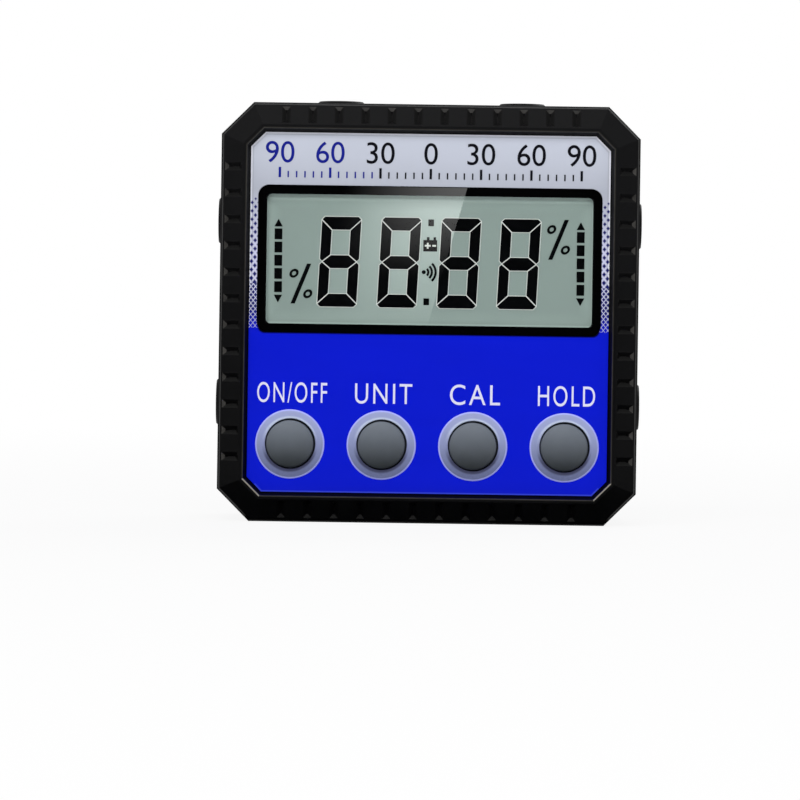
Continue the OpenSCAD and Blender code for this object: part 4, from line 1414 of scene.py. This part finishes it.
class GAUGE_OT_studio(GaugeOperator, bpy.types.Operator):
    """Set the floor, the soft light and the camera"""

    bl_idname = "gauge.studio"
    bl_label = "Studio"

    def execute(self, context):
        settings = context.scene.gauge_studio
        scene = context.scene
        scene.view_settings.view_transform = "Standard"
        self.world(scene, settings)
        self.floor(settings)
        front_place, back_place = (-0.12, -0.85, 0.78), (0.3, 0.85, 0.7)
        self.softbox("softbox", front_place, settings.box_power, settings)
        back_box = self.softbox("back_softbox", back_place, settings.back_power, settings)
        back_box.visible_glossy = True
        self.window_cards(settings)
        self.camera(scene, settings)
        return {"FINISHED"}

    @staticmethod
    def seen(graph):
        """1 for rays from the camera, straight or by way of a mirror or glass."""
        rays = graph.add(
            "ShaderNodeLightPath", None, None, ("Is Camera Ray", "Is Glossy Ray", "Is Transmission Ray")
        )
        return rays[0].most(rays[1]).most(rays[2])

    @staticmethod
    def level_sheet(half, near, far, height):
        """Corners of a level rectangle, given by half its width and its two ends."""
        return [(-half, near, height), (half, near, height), (half, far, height), (-half, far, height)]

    def world(self, scene, settings):
        """White surroundings to the eye, and even low light on the object."""
        scene.world = bpy.data.worlds.new("studio")
        scene.world.use_nodes = True
        scene.world.node_tree.nodes.clear()
        graph = Graph(scene.world.node_tree)
        strength = settings.ambient + (1 - settings.ambient) * self.seen(graph)
        sky = graph.add("ShaderNodeBackground", None, {"Color": (1, 1, 1, 1), "Strength": strength})
        graph.add("ShaderNodeOutputWorld", None, {"Surface": sky})

    def floor(self, settings):
        """Pale floor that keeps the shadow, runs out into the white and is open from below."""
        half, level = 3, -0.05 * MM
        mesh = bpy.data.meshes.new("floor")
        mesh.from_pydata(self.level_sheet(half, -half, half, level), [], [(0, 1, 2, 3)])
        graph = start_material("floor_paper")
        x, y, _ = graph.place()
        near, far, near_glow = 0.02, 0.5, 0.9
        glow = (near_glow + (1 - near_glow) * reach(x, y).rise(near, far)) * self.seen(graph)
        paper = graph.principled(base=settings.floor, roughness=0.9, shine=0.0)
        white = graph.add("ShaderNodeEmission", None, {"Color": (1, 1, 1, 1), "Strength": 1})
        top = graph.either(glow, paper, white)
        below = graph.add("ShaderNodeNewGeometry", None, None, "Backfacing")
        clear = graph.add("ShaderNodeBsdfTransparent")
        mesh.materials.append(graph.cover(graph.either(below, top, clear)))
        link("floor", mesh)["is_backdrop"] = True

    def softbox(self, name, place, power, settings):
        """A large softbox that looks at the middle of the face."""
        lamp = bpy.data.lights.new(name, "AREA")
        lamp.shape = "RECTANGLE"
        lamp.size = settings.box_w
        lamp.size_y = settings.box_h
        lamp.energy = power
        holder = bpy.data.objects.new(name, lamp)
        bpy.context.scene.collection.objects.link(holder)
        holder.location = place
        aim = FACE_MIDDLE - holder.location
        holder.rotation_euler = aim.to_track_quat("-Z", "Y").to_euler()
        holder.visible_camera = False
        holder.visible_glossy = False
        return holder

    def window_cards(self, settings):
        """Dark cards that keep the face free of haze, and a lit one that shows in the window."""
        depth, behind = -1.2, 0.1
        self.dark_cards(depth - behind)
        eye = FACE_Y + settings.distance
        growth = (eye - depth) / (eye - FACE_Y)
        top, foot = WINDOW_HIGH.z - FACE_MIDDLE.z, WINDOW_LOW.z - FACE_MIDDLE.z
        high, low, left = 1.3 * top, 1.6 * foot, -30 * MM
        edge = [(SHEEN_FOOT + SHEEN_SLOPE * (level - foot), level) for level in (low, high)]
        corners = [(left, low), *edge, (left, high)]
        points = [(x * growth, depth, FACE_MIDDLE.z + z * growth) for x, z in corners]

        def glare(graph):
            """Light that fades away from the slanted edge and downwards."""
            x, _, z = graph.place()
            up = (z - FACE_MIDDLE.z) / growth
            from_edge = x / growth - SHEEN_FOOT - SHEEN_SLOPE * (up - foot)
            inwards, upwards = (-16.5 * MM, 1 * MM), (4 * MM, 17.5 * MM)
            return settings.glare * from_edge.rise(*inwards) * up.rise(*upwards)

        self.card("glare_card", points, glare)

    def dark_cards(self, depth):
        """Dark cards before the object: one across the view, two sides, a roof and two on the floor."""
        half, top, low, side, back = 1.5, 1.5, 0.0002, 0.9, 0.25

        def haze(graph):
            """Light that grows towards the top and the sides."""
            x, _, z = graph.place()
            most_light, outwards, upwards = 0.26, (0.5, 1.1), (-0.9, 0.7)
            return most_light * reach(x, z).rise(*outwards) * z.rise(*upwards)

        wall = [(-half, depth, low), (half, depth, low), (half, depth, top), (-half, depth, top)]
        self.card("dark_card", wall, haze)
        side_light, roof_light, no_light = 0.06, 0.18, 0
        for name, x in (("left_card", -side), ("right_card", side)):
            flag = [(x, depth, low), (x, back, low), (x, back, top), (x, depth, top)]
            self.card(name, flag, side_light)
        self.card("roof_card", self.level_sheet(side, depth, back, top), roof_light)
        foot_start, foot_end, floor_end = -0.045, -0.0115, -0.075
        self.card("foot_card", self.level_sheet(half, foot_start, foot_end, low), no_light)
        self.card("floor_card", self.level_sheet(half, depth, floor_end, low), no_light)

    def card(self, name, points, light):
        """A flat card that only shows in reflections, with one level of light or a rule for it."""
        mesh = bpy.data.meshes.new(name)
        mesh.from_pydata(points, [], [tuple(range(len(points)))])
        graph = start_material(name)
        tint = light(graph) if callable(light) else (light, light, light, 1)
        glow = graph.add("ShaderNodeEmission", None, {"Color": tint, "Strength": 1})
        mesh.materials.append(graph.cover(glow))
        card = link(name, mesh)
        card.visible_camera = False
        card.visible_diffuse = False
        card.visible_shadow = False
        card.visible_transmission = False
        card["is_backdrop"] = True

    def camera(self, scene, settings):
        """Camera square on to the face."""
        lens = bpy.data.cameras.new("camera")
        lens.sensor_width = 36
        lens.lens = lens.sensor_width * settings.distance / settings.field
        lens.shift_x = settings.shift_x
        lens.shift_y = settings.shift_y
        lens.clip_start = 0.01
        holder = bpy.data.objects.new("camera", lens)
        scene.collection.objects.link(holder)
        holder.location = (0, CAD_BOX[0].y - settings.distance, FACE_MIDDLE.z)
        upright = Matrix.Rotation(math.pi / 2, 4, "X")
        rolled = upright @ Matrix.Rotation(settings.roll, 4, "Z")
        holder.rotation_euler = rolled.to_euler()
        scene.camera = holder


class GAUGE_PT_looks(bpy.types.Panel):
    """Lists what dresses the gauge"""

    bl_idname = "GAUGE_PT_looks"
    bl_label = "Gauge Looks"
    bl_space_type = "VIEW_3D"
    bl_region_type = "UI"
    bl_category = "Gauge"

    def draw(self, context):
        for operator in OPERATORS:
            self.layout.operator(operator.bl_idname)


SETTINGS = {
    "gauge_case": GaugeCaseSettings,
    "gauge_face": GaugeFaceSettings,
    "gauge_display": GaugeDisplaySettings,
    "gauge_keys": GaugeKeySettings,
    "gauge_studio": GaugeStudioSettings,
}
OPERATORS = (
    GAUGE_OT_case_finish,
    GAUGE_OT_face_print,
    GAUGE_OT_key_rings,
    GAUGE_OT_key_labels,
    GAUGE_OT_angle_scale,
    GAUGE_OT_display,
    GAUGE_OT_window,
    GAUGE_OT_keys,
    GAUGE_OT_inner_parts,
    GAUGE_OT_cells,
    GAUGE_OT_metal_parts,
    GAUGE_OT_studio,
)


def register():
    """Adds the settings, the operators and the panel."""
    for name, group in SETTINGS.items():
        bpy.utils.register_class(group)
        setattr(bpy.types.Scene, name, PointerProperty(type=group))
    for operator in OPERATORS:
        bpy.utils.register_class(operator)
    bpy.utils.register_class(GAUGE_PT_looks)


def unregister():
    """Takes them away again."""
    bpy.utils.unregister_class(GAUGE_PT_looks)
    for operator in reversed(OPERATORS):
        bpy.utils.unregister_class(operator)
    for name, group in reversed(SETTINGS.items()):
        delattr(bpy.types.Scene, name)
        bpy.utils.unregister_class(group)


def main():
    """Dresses the gauge piece by piece and works out its size."""
    register()
    for operator in OPERATORS:
        group, action = operator.bl_idname.split(".")
        getattr(getattr(bpy.ops, group), action)()
    boxes = {"cad": CAD_BOX, "visual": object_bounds()}
    {name: [list(low), list(high)] for name, (low, high) in boxes.items()}


if __name__ == "__main__":
    main()
